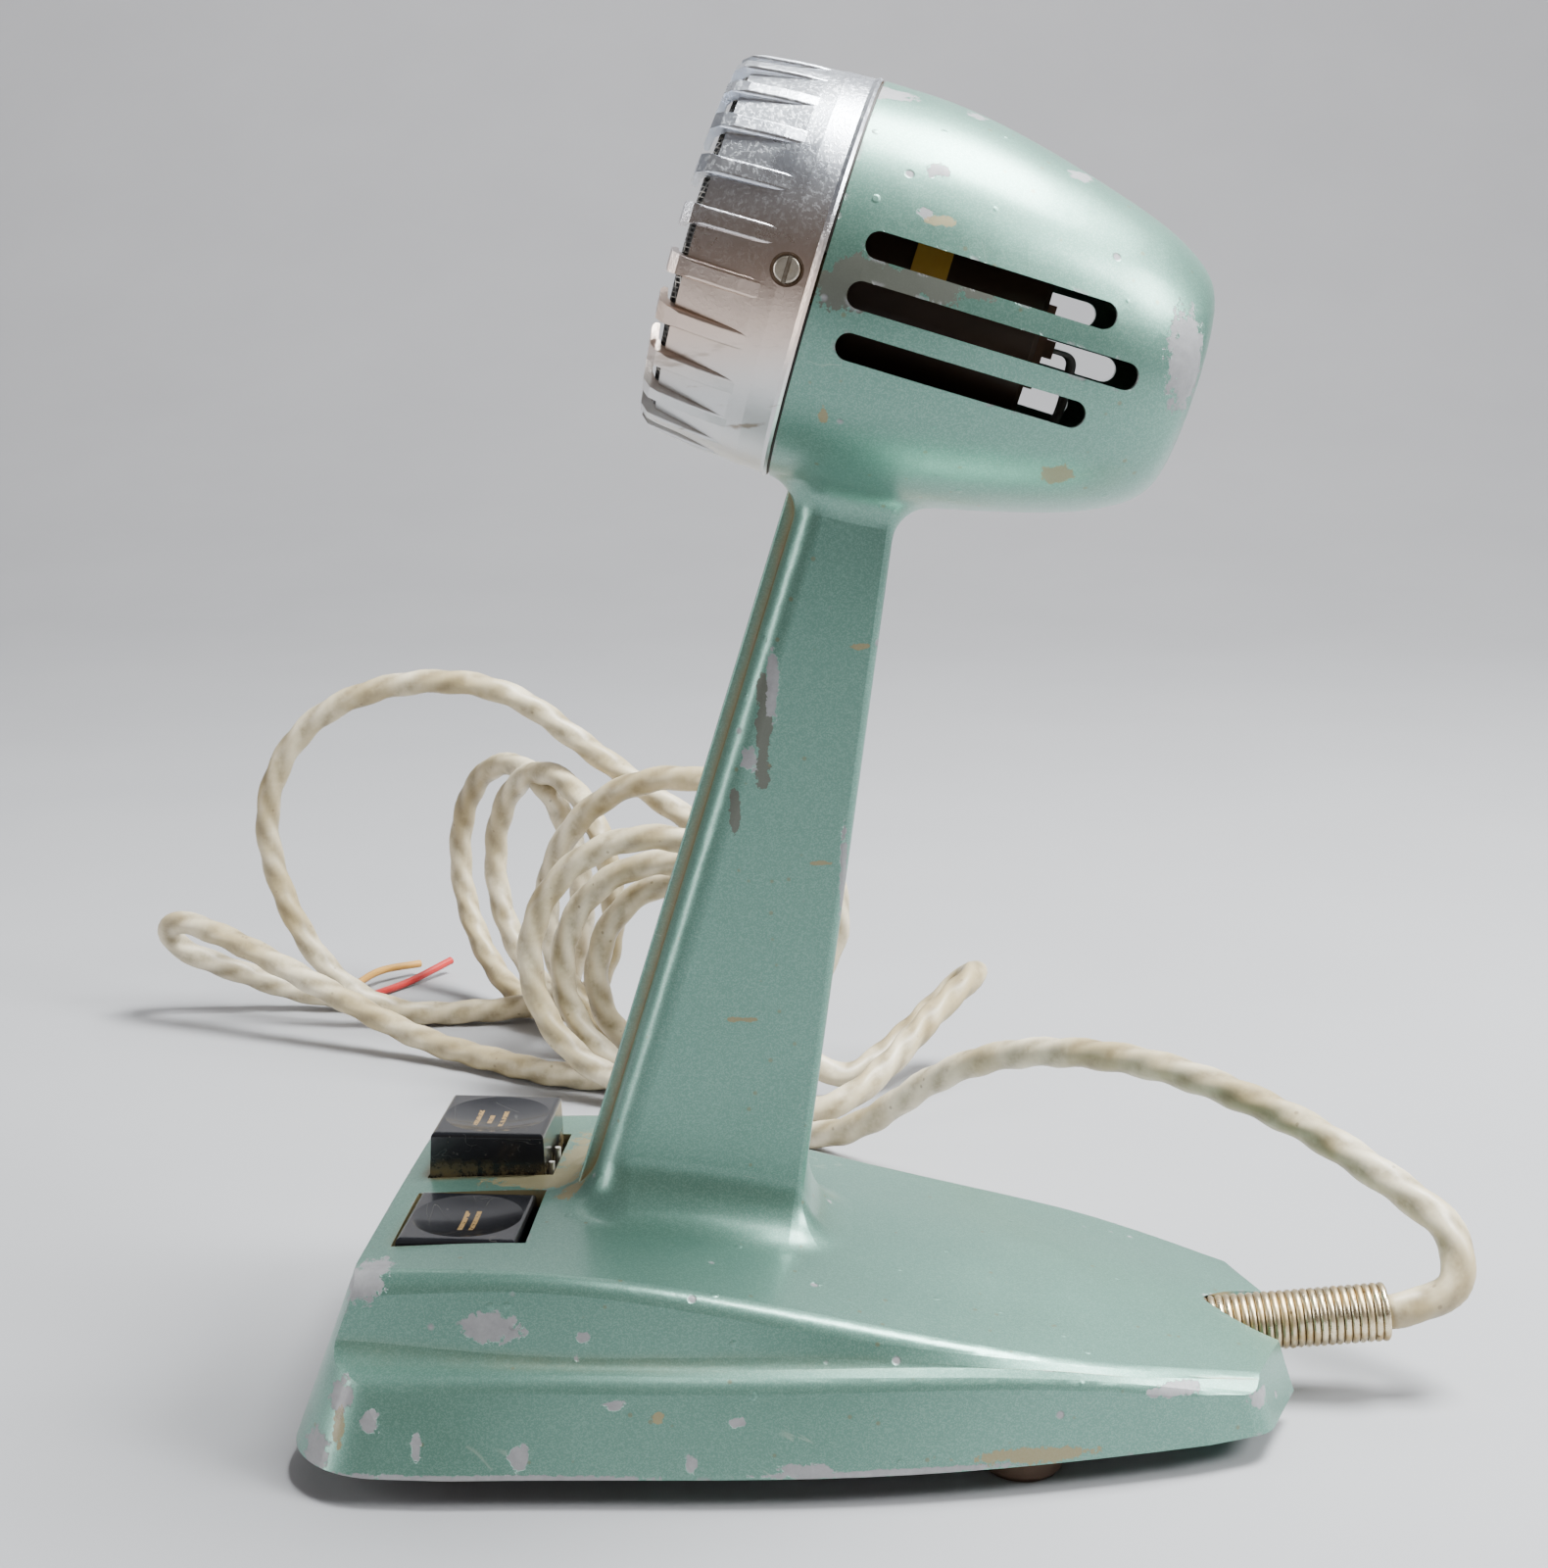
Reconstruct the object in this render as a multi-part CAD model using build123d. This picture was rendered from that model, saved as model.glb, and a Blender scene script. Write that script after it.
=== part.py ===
from build123d import *
import math
import os

# Desk microphone with a push-to-talk base.  Millimetres, +Z up, grille faces -Y,
# cable leaves at +Y.  The origin is on the table, under the middle of the microphone.

# ---------------------------------------------------------------- driving dimensions
HEAD_TILT = 16.65                  # degrees, grille end raised
SEAM = (0.0, -7.6, 199.8)          # centre of the joint between grille ring and head shell
HEAD_R = 34.0                      # outer radius at the seam
SHELL_LEN = 64.4                   # head shell, seam to rear
SHELL_WALL = 2.2
SLOT_W = 4.4                       # vent slots in both cheeks
SLOT_RUNS = ((7.6, 5.2, 46.7), (-0.5, 4.7, 53.0), (-8.6, 5.2, 46.7))   # height, start, end

RIB_COUNT = 24
RIB_W = 3.2
RING_LEN = 21.0                    # seam to the panels' front edge
RIB_LEN = 23.3
SCREW_S = -5.3                     # ring screws, from the seam towards the rear
SCREW_SEAT_R = 2.7                 # recess round a screw's head
LUG_S = (-9.0, 3.0)                # lugs that the grille ring is screwed to
LUG_X = 29.0

STEM_Z = (24.0, 172.0)             # the stem's two ends, inside the base and the head
FOOT_FLARE = 10.5                  # radius where the stem runs into the base
NECK_FLARE = 6.5                   # and where it runs into the head
WIRE_SLOT = (6.4, 9.0)             # width and depth of the stem's wiring channel
CHANNEL_FOOT = 40.0                # the channel is open to the front from here up

RIM_Z = 5.4                        # lower edge of the base casting
DECK_Z = 37.2                      # top of the base at the buttons
FRONT_Y = -97.2
TAIL_Y = 79.0
NOTCH_Y = 62.0                     # apex of the notch in the tail
NOTCH_HALF_W = 11.0
NOTCH_END_Y = 75.5
BOSSES = ((-39, -84), (39, -84), (-21, 48), (21, 48))     # base screws

BUTTON_OPEN = 23.7                 # square openings in the deck
BUTTON_X = 15.7                    # button centre from the middle plane
BUTTON_Y = -70.0
BUTTON_TRAVEL = 8.0
TALK_TOP_Z = 44.8                  # raised button at rest
LOCK_TOP_Z = TALK_TOP_Z - BUTTON_TRAVEL   # latched button at rest
BUTTON_W = 23.2
BUTTON_L = 21.9
SEAT_Y = BUTTON_Y - 0.55           # the cap sits towards the front of its opening
CAP_H = 11.0
LIP_DROP = 13.2                    # stop lips below the top of a button
TAB_X = 4.2                        # a button's tab, out from its middle
FRAME_Z = (13.0, 14.2)             # floor of the switch frame
PIVOT = (-42.5, 19.0)              # y, z of the lever pin
ARM = 17.5                         # pin to the button's tab
LEVER_TURN = math.degrees(math.atan(BUTTON_TRAVEL / ARM))

SPRING_TILT = 6.5                  # degrees, cable end raised
SPRING_END = (0.0, 95.3, 16.1)
SPRING_OD = 10.6
SPRING_WIRE = 1.4
SPRING_TURNS = 32
CABLE_D = 6.8
LOW = CABLE_D / 2                  # centre height of cable that lies on the table
INNER_END = -54.0                  # inner end of the cable, along the spring from its outer end
BUNDLE_NEAR = (-144.0, -49.0, 42.0, 44.5)    # x, y of the centre, half height, half width
BUNDLE_FAR = (-248.0, -105.0, 40.0, 28.0)

FOOT_D = 14.0
FOOT_H = 5.3
FEET = ((-34, -72), (34, -72), (-31.5, 28), (31.5, 28))

# ---------------------------------------------------------------- working planes
TILT = math.radians(HEAD_TILT)
# local +X is the microphone's left, +Y is up across the head, +Z is towards its rear
HEAD = Plane(origin=SEAM, x_dir=(-1, 0, 0), z_dir=(0, math.cos(TILT), -math.sin(TILT)))
STILT = math.radians(SPRING_TILT)
# origin at the spring's outer end, local +Z points outwards
SPRING = Plane(origin=SPRING_END, x_dir=(1, 0, 0), z_dir=(0, math.cos(STILT), math.sin(STILT)))


def save(shape, name):
    shape.label = name
    export_step(shape, "parts/" + name + ".step")


def turned(points):
    """Solid of revolution about local Z from a closed (radius, height) outline."""
    outline = Polyline(*[(r, 0, z) for r, z in points], close=True)
    return revolve(make_face(outline), Axis.Z)


def rod(radius, start, end):
    """Round bar between two points."""
    line = Line(start, end)
    plane = Plane(origin=start, z_dir=line.tangent_at(0))
    return extrude(plane * Circle(radius), line.length)


def block(x, y, z):
    """Box given by its low and high limits on each axis."""
    size = (x[1] - x[0], y[1] - y[0], z[1] - z[0])
    middle = ((x[0] + x[1]) / 2, (y[0] + y[1]) / 2, (z[0] + z[1]) / 2)
    return Pos(*middle) * Box(*size)


# ---------------------------------------------------------------- cast body: base
# y, crown z, deck edge (x, z), cove (x, z), ledge (x, z), foot x
BASE_STATIONS = (
    (-101.0, 37.5, (41.0, 36.4), (43.6, 22.4), (48.8, 21.0), 54.3),
    (-62.0, 37.5, (41.2, 36.3), (43.9, 22.3), (48.6, 20.8), 53.3),
    (-28.0, 35.6, (41.3, 33.6), (43.4, 22.4), (47.2, 20.6), 51.0),
    (0.0, 30.9, (39.4, 28.0), (41.4, 22.4), (44.6, 20.2), 48.3),
    (24.0, 26.4, (37.2, 23.4), (39.4, 21.4), (41.4, 19.6), 43.6),
    (50.0, 21.0, (32.0, 18.7), (33.8, 17.6), (35.2, 16.2), 36.3),
    (82.0, 14.2, (21.2, 12.4), (22.6, 11.6), (23.8, 10.4), 24.8),
)


def arc_radii(points, share=0.45, largest=None):
    """Radius at each inner point that its two runs leave room for."""
    radii = []
    for a, b, c in zip(points, points[1:], points[2:]):
        run_in, run_out = Vector(b) - Vector(a), Vector(c) - Vector(b)
        half_turn = math.radians(run_in.get_angle(run_out)) / 2
        radii.append(share * min(run_in.length, run_out.length) / math.tan(half_turn))
    return [min(r, top) for r, top in zip(radii, largest)] if largest else radii


def base_section(station):
    """Cross section of the base across the middle plane."""
    y, crown, deck, cove, ledge, foot = station
    half = [(foot, RIM_Z - 1.0), ledge, cove, deck]
    right = [(x, y, z) for x, z in half]
    left = [(-x, y, z) for x, z in reversed(half)]
    points = [*right, (0, y, crown), *left]
    wanted = (3.4, 2.4, 3.2, 2000.0, 3.2, 2.4, 3.4)
    path = FilletPolyline(*points, radius=arc_radii(points, 0.4, wanted))
    return make_face([*path.edges(), Line(left[-1], right[0])])


def plan_outline(z, front, half_w, corner):
    """Plan of the base at one height: square tail, rounded front corners."""
    back = TAIL_Y + 6
    points = [(-half_w, back, z), (-half_w, front, z), (half_w, front, z), (half_w, back, z)]
    path = FilletPolyline(*points, radius=corner)
    return make_face([*path.edges(), Line(points[-1], points[0])])


def base_block():
    """Base as cast, with no hollow and no stem."""
    hull = loft([base_section(s) for s in BASE_STATIONS])
    plan = loft([plan_outline(RIM_Z - 2, FRONT_Y - 0.4, 54.2, 18.0),
                 plan_outline(DECK_Z + 6, FRONT_Y + 13.8, 41.6, 8.0)])
    hull = hull & plan
    hull -= block((-70, 70), (-120, 120), (-10, RIM_Z))
    return hull - tail_cuts()


def tail_cuts():
    """Swept end faces and the notch that the cable spring lies in."""
    lean = 7.8                     # the tail's top edge is this far ahead of its foot
    far_y = TAIL_Y + 20
    cuts = []
    for side in (-1, 1):
        faces = []
        for z, ahead in ((RIM_Z - 2, 0.0), (26.0, lean)):
            middle, flank = (0, TAIL_Y + 3.2 - ahead, z), (side * 36, TAIL_Y - 25 - ahead, z)
            end = FilletPolyline(middle, (side * 28.0, TAIL_Y - 7.4 - ahead, z), flank, radius=7.0)
            outer = Polyline(flank, (side * 40, far_y, z), (0, far_y, z), middle)
            faces.append(make_face([*end.edges(), *outer.edges()]))
        cuts.append(loft(faces))
    apex, bend_y = (0, NOTCH_Y, 0), NOTCH_Y + 6.4
    right, left = (NOTCH_HALF_W, NOTCH_END_Y, 0), (-NOTCH_HALF_W, NOTCH_END_Y, 0)
    far_right, far_left = (NOTCH_HALF_W + 1.2, TAIL_Y + 8, 0), (-NOTCH_HALF_W - 1.2, TAIL_Y + 8, 0)
    notch = make_face([ThreePointArc(apex, (7.2, bend_y, 0), right), Line(right, far_right),
                       Line(far_right, far_left), Line(far_left, left),
                       ThreePointArc(left, (-7.2, bend_y, 0), apex)])
    return cuts[0] + cuts[1] + extrude(notch, 40, dir=(0, 0, 1))


# ---------------------------------------------------------------- cast body: stem and head
def spine_y(z):
    """Front edge of the raised strip on the stem."""
    return -52.3 + (z - 39.1) * 0.3036


def flank_y(z):
    """Front face of the stem beside the strip."""
    return spine_y(z) + 2.3


def rear_y(z):
    """Rear edge of the stem."""
    return -10.3 + (z - 45.0) * 0.1268


def stem_block():
    """Tapered stem: wide rounded front, narrower rear with sharper edges."""
    sections = []
    for z, front_w, rear_w, front_r in ((STEM_Z[0], 11.8, 9.2, 6.0), (STEM_Z[1], 9.8, 7.4, 5.0)):
        front, rear = flank_y(z), rear_y(z)
        face = make_face(Polyline((-front_w, front, z), (front_w, front, z), (rear_w, rear, z),
                                  (-rear_w, rear, z), close=True))
        face = fillet([v for v in face.vertices() if v.Y < front + 1], front_r)
        sections.append(fillet([v for v in face.vertices() if v.Y > rear - 1], 1.4))
    return loft(sections)


def dome(inset):
    """Head shell's outer form, or the same form moved inwards."""
    end = SHELL_LEN - inset
    side = Spline((HEAD_R - inset, 0, 6), (31.3 - inset, 0, 28), (27.3 - inset, 0, 43.8 - inset * 0.2),
                  (22.0 - inset, 0, 57.4 - inset * 0.7), (17.6 - inset, 0, 62.2 - inset * 0.9),
                  (10.0 - inset, 0, end - 0.6), (0, 0, end), tangents=((0, 0, 1), (-1, 0, 0)))
    start = 0.0 if inset == 0 else -1.0
    foot = (HEAD_R - inset, 0, start)
    middle = (0, 0, start)
    face = make_face([Line(middle, foot), Line(foot, side @ 0), side, Line(side @ 1, middle)])
    return HEAD * revolve(face, Axis.Z)


def vent_slots():
    """Three long openings through both cheeks of the shell."""
    cut = None
    for height, first, last in SLOT_RUNS:
        r = SLOT_W / 2
        bar = HEAD * block((-60, 60), (height - r, height + r), (first + r, last - r))
        for end in (first + r, last - r):
            bar += HEAD * (Pos(0, height, end) * Rot(0, 90, 0) * Cylinder(r, 120))
        cut = bar if cut is None else cut + bar
    return cut


def base_cavity():
    """Hollow of the base, with walls about 3 mm thick."""
    sections = []
    for y, crown, deck, cove, ledge, foot in BASE_STATIONS:
        half = [(foot - 3.6, RIM_Z - 1), (cove[0] - 3.2, cove[1] - 3.0), (deck[0] - 3.4, deck[1] - 4.2)]
        right = [(x, y, z) for x, z in half]
        left = [(-x, y, z) for x, z in reversed(half)]
        sections.append(make_face(Polyline(*right, (0, y, crown - 3.2), *left, close=True)))
    cavity = loft(sections, ruled=True)
    plan = loft([plan_outline(RIM_Z - 2, FRONT_Y + 3.0, 50.6, 14.6),
                 plan_outline(DECK_Z + 6, FRONT_Y + 17.4, 38.2, 5.0)])
    return cavity & plan & block((-70, 70), (-120, NOTCH_Y - 6), (0, 60))


def channel_run(z_low, z_high, ahead):
    """Stretch of the channel whose front wall is some way ahead of the stem's front."""
    half, depth = WIRE_SLOT[0] / 2, WIRE_SLOT[1]
    sections = []
    for z in (z_low, z_high):
        y = flank_y(z)
        sections.append(make_face(Polyline((-half, y - ahead, z), (half, y - ahead, z), (half, y + depth, z),
                                           (-half, y + depth, z), close=True)))
    return loft(sections)


def wiring_channel():
    """Open down the stem's front, then closed down into the base."""
    return channel_run(CHANNEL_FOOT, STEM_Z[1] - 1, 4) + channel_run(28.0, CHANNEL_FOOT, -1.5)


def near(edges, low, high):
    """Edges whose middle lies in a box."""
    picked = []
    for edge in edges:
        p = edge @ 0.5
        if all(a <= v <= b for a, v, b in zip(low, (p.X, p.Y, p.Z), high)):
            picked.append(edge)
    return picked


def cast_body():
    """Base, stem and head shell, which are one casting."""
    base, stem, head = base_block(), stem_block(), dome(0)
    stem_foot = block((-30, 30), (-80, 30), (RIM_Z + 6, STEM_Z[1] + 10))
    body = base + (stem & stem_foot) + head
    body = fillet(near(body.edges(), (-13, -56, 30), (13, -5, 40)), FOOT_FLARE)
    body = fillet(near(body.edges(), (-13, -20, 155), (13, 20, 170)), NECK_FLARE)
    cavity = base_cavity()
    body -= cavity
    body -= dome(SHELL_WALL)
    body -= vent_slots()
    for x, y in BOSSES:
        body += Pos(x, y, 25) * Cylinder(4.0, 36) & cavity & block((-60, 60), (-100, 60), (RIM_Z + 1.5, 50))
        body -= Pos(x, y, 12) * Cylinder(1.5, 12)
    body -= wiring_channel()
    half = BUTTON_OPEN / 2
    lug = block((-2.0, 2.0), (-4, 4), LUG_S) + block((-2.0, 4.0), (-4, 4), (0.4, LUG_S[1]))
    lug -= Pos(0, 0, SCREW_S) * Rot(0, 90, 0) * Cylinder(1.2, 8)
    for side in (-1, 1):
        x = side * BUTTON_X
        body -= block((x - half, x + half), (BUTTON_Y - half, BUTTON_Y + half), (RIM_Z + 20, 60))
        body += HEAD * (Pos(side * LUG_X, 0, 0) * Rot(0, 0, 90 - side * 90) * lug)
    body -= SPRING * Pos(0, 0, -SPRING_TURNS * SPRING_WIRE / 2) * Cylinder(SPRING_OD / 2 + 0.1, 60)
    return body


def strip_section(z, half, front, back):
    """Rectangle across the stem, between two distances behind its front face."""
    y = flank_y(z)
    return make_face(Polyline((-half, y + front, z), (half, y + front, z), (half, y + back, z),
                              (-half, y + back, z), close=True))


def stem_strip(body):
    """Raised strip that closes the wiring channel down the front of the stem."""
    proud = flank_y(0) - spine_y(0)
    strip = loft([strip_section(33.0, 5.2, -proud, 0), strip_section(STEM_Z[1], 4.5, -proud, 0)])
    long_edges = [e for e in strip.edges() if e.length > 50 and (e @ 0.5).Y < spine_y((e @ 0.5).Z) + 0.5]
    strip = fillet(long_edges, 0.5)
    half = WIRE_SLOT[0] / 2 - 0.1
    tongue = loft([strip_section(CHANNEL_FOOT + 0.5, half, -0.2, 2.0), strip_section(163.0, half, -0.2, 2.0)])
    strip = (strip + (wiring_channel() & tongue)) - body - base_block() - dome(0)
    return max(strip.solids(), key=lambda solid: solid.volume)


# ---------------------------------------------------------------- head: ring, mesh, cartridge
def grille_ring():
    """Plated band whose panels curve in between ribs that end in hooked tips."""
    band = turned([(31.5, -0.5), (34.0, -0.5), (34.3, -1.0), (33.9, -1.7), (33.7, -6.0), (33.3, -9.0),
                   (32.6, -12.5), (31.8, -16.5), (30.9, -RING_LEN), (30.3, -RING_LEN), (31.0, -12.0),
                   (31.5, -9.5)])
    outline = [(33.35, -8.6), (33.25, -12.0), (33.0, -15.0), (32.4, -20.0), (31.8, -RIB_LEN + 1.1),
               (30.6, -RIB_LEN - 0.3), (26.4, -RIB_LEN - 1.0), (25.2, -RIB_LEN - 0.7), (25.2, -RIB_LEN),
               (28.8, -22.6), (30.2, -21.6), (31.0, -12.5), (32.4, -10.5)]
    face = make_face(Polyline(*[(r, 0, s) for r, s in outline], close=True))
    rib = extrude(face, RIB_W / 2, dir=(0, 1, 0), both=True)
    crest = [e for e in near(rib.edges(), (31.6, -9, -30), (33.4, 9, 0)) if e.length > 4]
    crest = [e for e in crest if abs((e @ 0.5).Y) > 1]
    rib = fillet(crest, 0.6)
    step = 360 / RIB_COUNT
    ring = band
    for i in range(RIB_COUNT):
        ring += Rot(0, 0, step * (i + 0.5)) * rib
    for side in (-1, 1):
        seat = Pos(side * 34.0, 0, SCREW_S) * Rot(0, 90, 0)
        ring -= seat * Cylinder(SCREW_SEAT_R, 2.4)
        ring -= seat * Cylinder(1.6, 12)
    return HEAD * ring


def ring_screws():
    """Slotted screws through the ring into the shell's lugs."""
    screws = []
    for side in (-1, 1):
        seat = HEAD * Pos(side * 32.8, 0, SCREW_S) * Rot(0, side * 90, 0)
        head = Pos(0, 0, 0.45) * Cylinder(SCREW_SEAT_R - 0.5, 0.9) + Pos(0, 0, -3.4) * Cylinder(1.15, 6.8)
        head = fillet(head.edges().sort_by(Axis.Z)[-1], 0.5)
        head -= Pos(0, 0, 0.9) * Box(0.7, 6, 0.8)
        screws.append(seat * head)
    return Compound(children=screws)


def mesh_cup():
    """Woven wire front, crowned, behind the ribs' tips."""
    return HEAD * turned([(29.9, -12.0), (29.9, -20.6), (28.6, -22.1), (22.0, -23.0), (12.0, -23.7),
                          (0, -24.0), (0, -23.2), (12.0, -22.9), (22.0, -22.2), (28.2, -21.3),
                          (29.1, -20.3), (29.1, -12.0)])


def cartridge():
    """The dynamic insert's pieces, front to back, each under its name."""
    case = turned([(22.0, -6.0), (25.6, -6.0), (25.6, -9.0), (23.0, -9.0), (23.0, -8.0), (20.6, -8.0),
                   (20.6, 34.0), (0, 34.0), (0, 36.0), (21.2, 36.0), (22.0, 35.2)])
    shock = turned([(23.2, -9.2), (29.0, -9.2), (29.0, -11.8), (23.2, -11.8)])
    felt = turned([(0, -12.2), (28.9, -12.2), (28.9, -19.9), (28.0, -20.9), (21.8, -21.9), (12.0, -22.6),
                   (0, -22.9)])
    film = turned([(20.4, -5.0), (20.4, -4.7), (9.3, -4.7), (7.0, -6.4), (0, -7.0), (0, -7.3), (7.1, -6.7),
                   (9.2, -5.0)])
    coil = turned([(8.6, -4.6), (9.2, -4.6), (9.2, 3.0), (8.6, 3.0)])
    pole = turned([(0, -2.0), (8.0, -2.0), (8.0, 3.6), (0, 3.6)])
    magnet = turned([(0, 3.7), (10.5, 3.7), (10.5, 22.0), (0, 22.0)])
    yoke = turned([(0, 22.1), (13.0, 22.1), (13.0, 2.4), (9.9, 2.4), (9.9, -1.6), (16.0, -1.6), (16.0, 25.0),
                   (0, 25.0)])
    tape = turned([(22.05, 13.0), (22.35, 13.0), (22.35, 19.0), (22.05, 19.0)])
    tape = tape & block((-40, 40), (4, 40), (0, 40))
    board = Pos(0, 0, 37.0) * Box(24, 14, 1.6)
    for x in (-7, 0, 7):
        board += Pos(x, 0, 38.6) * Box(2.4, 3.0, 2.0)
    named = {"cartridge_case": case, "shock_ring": shock, "wind_felt": felt, "diaphragm": film,
             "voice_coil": coil, "pole_piece": pole, "magnet": magnet, "magnet_yoke": yoke,
             "cartridge_tape": tape, "terminal_board": board}
    return {name: HEAD * solid for name, solid in named.items()}


def ring_gasket():
    """Thin gasket in the seam, interrupted where the lugs pass."""
    washer = turned([(31.9, -0.48), (33.5, -0.48), (33.5, -0.02), (31.9, -0.02)])
    return HEAD * (washer - block((-40, 40), (-4.2, 4.2), (-2, 2)))


# ---------------------------------------------------------------- base: underside
def base_plate():
    """Sheet steel cover of the underside, with a slot for the cable."""
    plate = base_cavity() & block((-70, 70), (-120, 120), (RIM_Z + 0.3, RIM_Z + 1.5))
    plate -= block((-7, 7), (41, 90), (0, 20))
    for x, y in FEET:
        plate -= Pos(x, y, RIM_Z) * Cylinder(3.1, 10)
    for x, y in BOSSES:
        plate -= Pos(x, y, RIM_Z) * Cylinder(1.8, 10)
    return plate


def feet():
    """Rubber feet, each pulled through a hole in the plate by its barb."""
    foot = turned([(0, 0), (FOOT_D / 2 - 0.8, 0), (FOOT_D / 2, 1.0), (FOOT_D / 2 - 0.4, FOOT_H), (5, FOOT_H),
                   (5, RIM_Z + 0.3), (3.1, RIM_Z + 0.3), (3.1, RIM_Z + 1.6), (4.2, RIM_Z + 1.6),
                   (3.0, RIM_Z + 4), (0, RIM_Z + 4)])
    return Compound(children=[Pos(x, y, 0) * foot for x, y in FEET])


def base_screws():
    """Slotted screws that hold the plate to the casting's bosses."""
    screw = turned([(0, RIM_Z - 1.1), (1.6, RIM_Z - 1.1), (3.4, RIM_Z - 0.4), (3.4, RIM_Z + 0.28),
                    (1.45, RIM_Z + 0.28), (1.45, RIM_Z + 10), (0, RIM_Z + 10)])
    screw -= Pos(0, 0, RIM_Z - 1.0) * Box(0.9, 8, 1.0)
    return Compound(children=[Pos(x, y, 0) * screw for x, y in BOSSES])


# ---------------------------------------------------------------- base: buttons and switches
def button(side, top_z):
    """Square cap with a dished top, stop lips, a guide post and a tab for its lever."""
    low = Plane.XY.offset(-CAP_H) * Rectangle(BUTTON_W, BUTTON_L)
    high = Plane.XY * Rectangle(BUTTON_W - 0.8, BUTTON_L - 0.8)
    cap = loft([low, high])
    cap = fillet(cap.edges().group_by(Axis.Z)[-1], 0.9)
    cap -= Pos(0, 0, 40.2) * Sphere(41.4)
    cap -= block((-9.8, 9.8), (-9.1, 9.1), (-CAP_H - 1, -3.4))
    lip = block((-12.9, 12.9), (-6, 6), (-LIP_DROP - 1.6, -LIP_DROP))
    lip += block((-11.5, 11.5), (-6, 6), (-LIP_DROP, -9))
    cap += lip - block((-9.8, 9.8), (-9, 9), (-20, 0))
    cap += Pos(0, 0, -8) * Cylinder(2.6, 12)
    tab_x = side * TAB_X
    cap += block((tab_x - 2.4, tab_x + 2.4), (9.0, 10.4), (-16.6, -CAP_H + 2))
    return Pos(side * BUTTON_X, SEAT_Y, top_z) * cap


def return_spring(side, top_z):
    """Coil spring between the switch frame and the button, wound as a plain helix."""
    low, high = FRAME_Z[1] + 0.4, top_z - 3.8
    radius, wire = 4.3, 0.7
    helix = Helix(pitch=(high - low) / 7, height=high - low, radius=radius)
    start = Plane(origin=helix @ 0, z_dir=helix % 0)
    body = sweep(start * Circle(wire / 2), path=helix)
    return Pos(side * BUTTON_X, SEAT_Y, low) * body


def guide_pins():
    """Two white nylon pins behind the talk button that keep it from tipping."""
    y = BUTTON_Y + BUTTON_OPEN / 2 - 0.7
    return Compound(children=[Pos(x, y, 26.6) * Cylinder(0.55, 24.4) for x in (-14.6, -6.8)])


def switch_frame():
    """Folded sheet frame under the buttons, with ears for the lever pin."""
    frame = block((-33, 33), (-86, -36), FRAME_Z)
    for side in (-1, 1):
        frame += block((side * 33 - 0.6, side * 33 + 0.6), (-80, -50), (FRAME_Z[0], 31.0))
        frame -= Pos(side * BUTTON_X, SEAT_Y, 12) * Cylinder(3.1, 8)
    for x in (-24.6, 0, 24.6):
        ear = block((x - 0.7, x + 0.7), (PIVOT[0] - 3, PIVOT[0] + 3), (FRAME_Z[0], PIVOT[1] + 3))
        frame += ear - Pos(x, *PIVOT) * Rot(0, 90, 0) * Cylinder(1.22, 6)
    return frame


def lever_pin():
    """Pin that both contact levers turn on."""
    return Pos(0, *PIVOT) * Rot(0, 90, 0) * Cylinder(1.2, 50)


def lever(side, turn):
    """Contact lever under a button, turned up from level by some degrees."""
    arm = block((-2.0, 2.0), (-ARM - 2.2, 2.4), (-0.6, 0.6)) + Rot(0, 90, 0) * Cylinder(2.3, 6)
    arm += block((-1.6, 1.6), (1.8, 7.0), (-0.5, 0.5))
    arm -= Rot(0, 90, 0) * Cylinder(1.26, 20)
    return Pos(side * (BUTTON_X + TAB_X), *PIVOT) * Rot(-turn, 0, 0) * arm


def contact_stacks():
    """Insulated contact springs behind the levers, one stack a side."""
    parts = []
    for side in (-1, 1):
        x = side * (BUTTON_X + TAB_X)
        stack = block((x - 4, x + 4), (-31.5, -24.5), (14.4, 26.0))
        for z in (17.0, 20.5, 24.0):
            stack += block((x - 2, x + 2), (-34.0, -18.0), (z - 0.25, z + 0.25))
        parts.append(stack)
    return Compound(children=parts)


def stack_bracket():
    """Sheet bracket that the contact stacks stand on."""
    return block((-22, 22), (-35.9, -20), FRAME_Z)


# ---------------------------------------------------------------- base: rear
def transformer():
    """Matching transformer: laminated core and its winding."""
    core = block((-13, 13), (-12, 4), (7.4, 22.4))
    core -= block((-8.5, -4.5), (-20, 12), (10.4, 19.4)) + block((4.5, 8.5), (-20, 12), (10.4, 19.4))
    coil = block((-8.3, 8.3), (-14.5, 6.5), (10.6, 19.2)) - block((-4.6, 4.6), (-12.2, 4.2), (9, 23))
    return {"transformer_core": core, "transformer_winding": coil}


def strain_spring():
    """Close-wound wire sleeve: a ring of round humps for each turn."""
    r, pitch = SPRING_OD / 2, SPRING_WIRE
    edges = []
    for i in range(SPRING_TURNS):
        z0, z1 = -i * pitch, -(i + 1) * pitch
        edges.append(ThreePointArc((r - 0.45, 0, z0), (r, 0, (z0 + z1) / 2), (r - 0.45, 0, z1)))
    end = -SPRING_TURNS * pitch
    edges += [Line((r - 0.45, 0, end), (r - pitch, 0, end)), Line((r - pitch, 0, end), (r - pitch, 0, 0)),
              Line((r - pitch, 0, 0), (r - 0.45, 0, 0))]
    return SPRING * revolve(make_face(edges), Axis.Z)


def cable_inner():
    """The stretch of cable inside the spring and the base."""
    return SPRING * (Pos(0, 0, INNER_END / 2) * Cylinder(CABLE_D / 2, -INNER_END))


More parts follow.
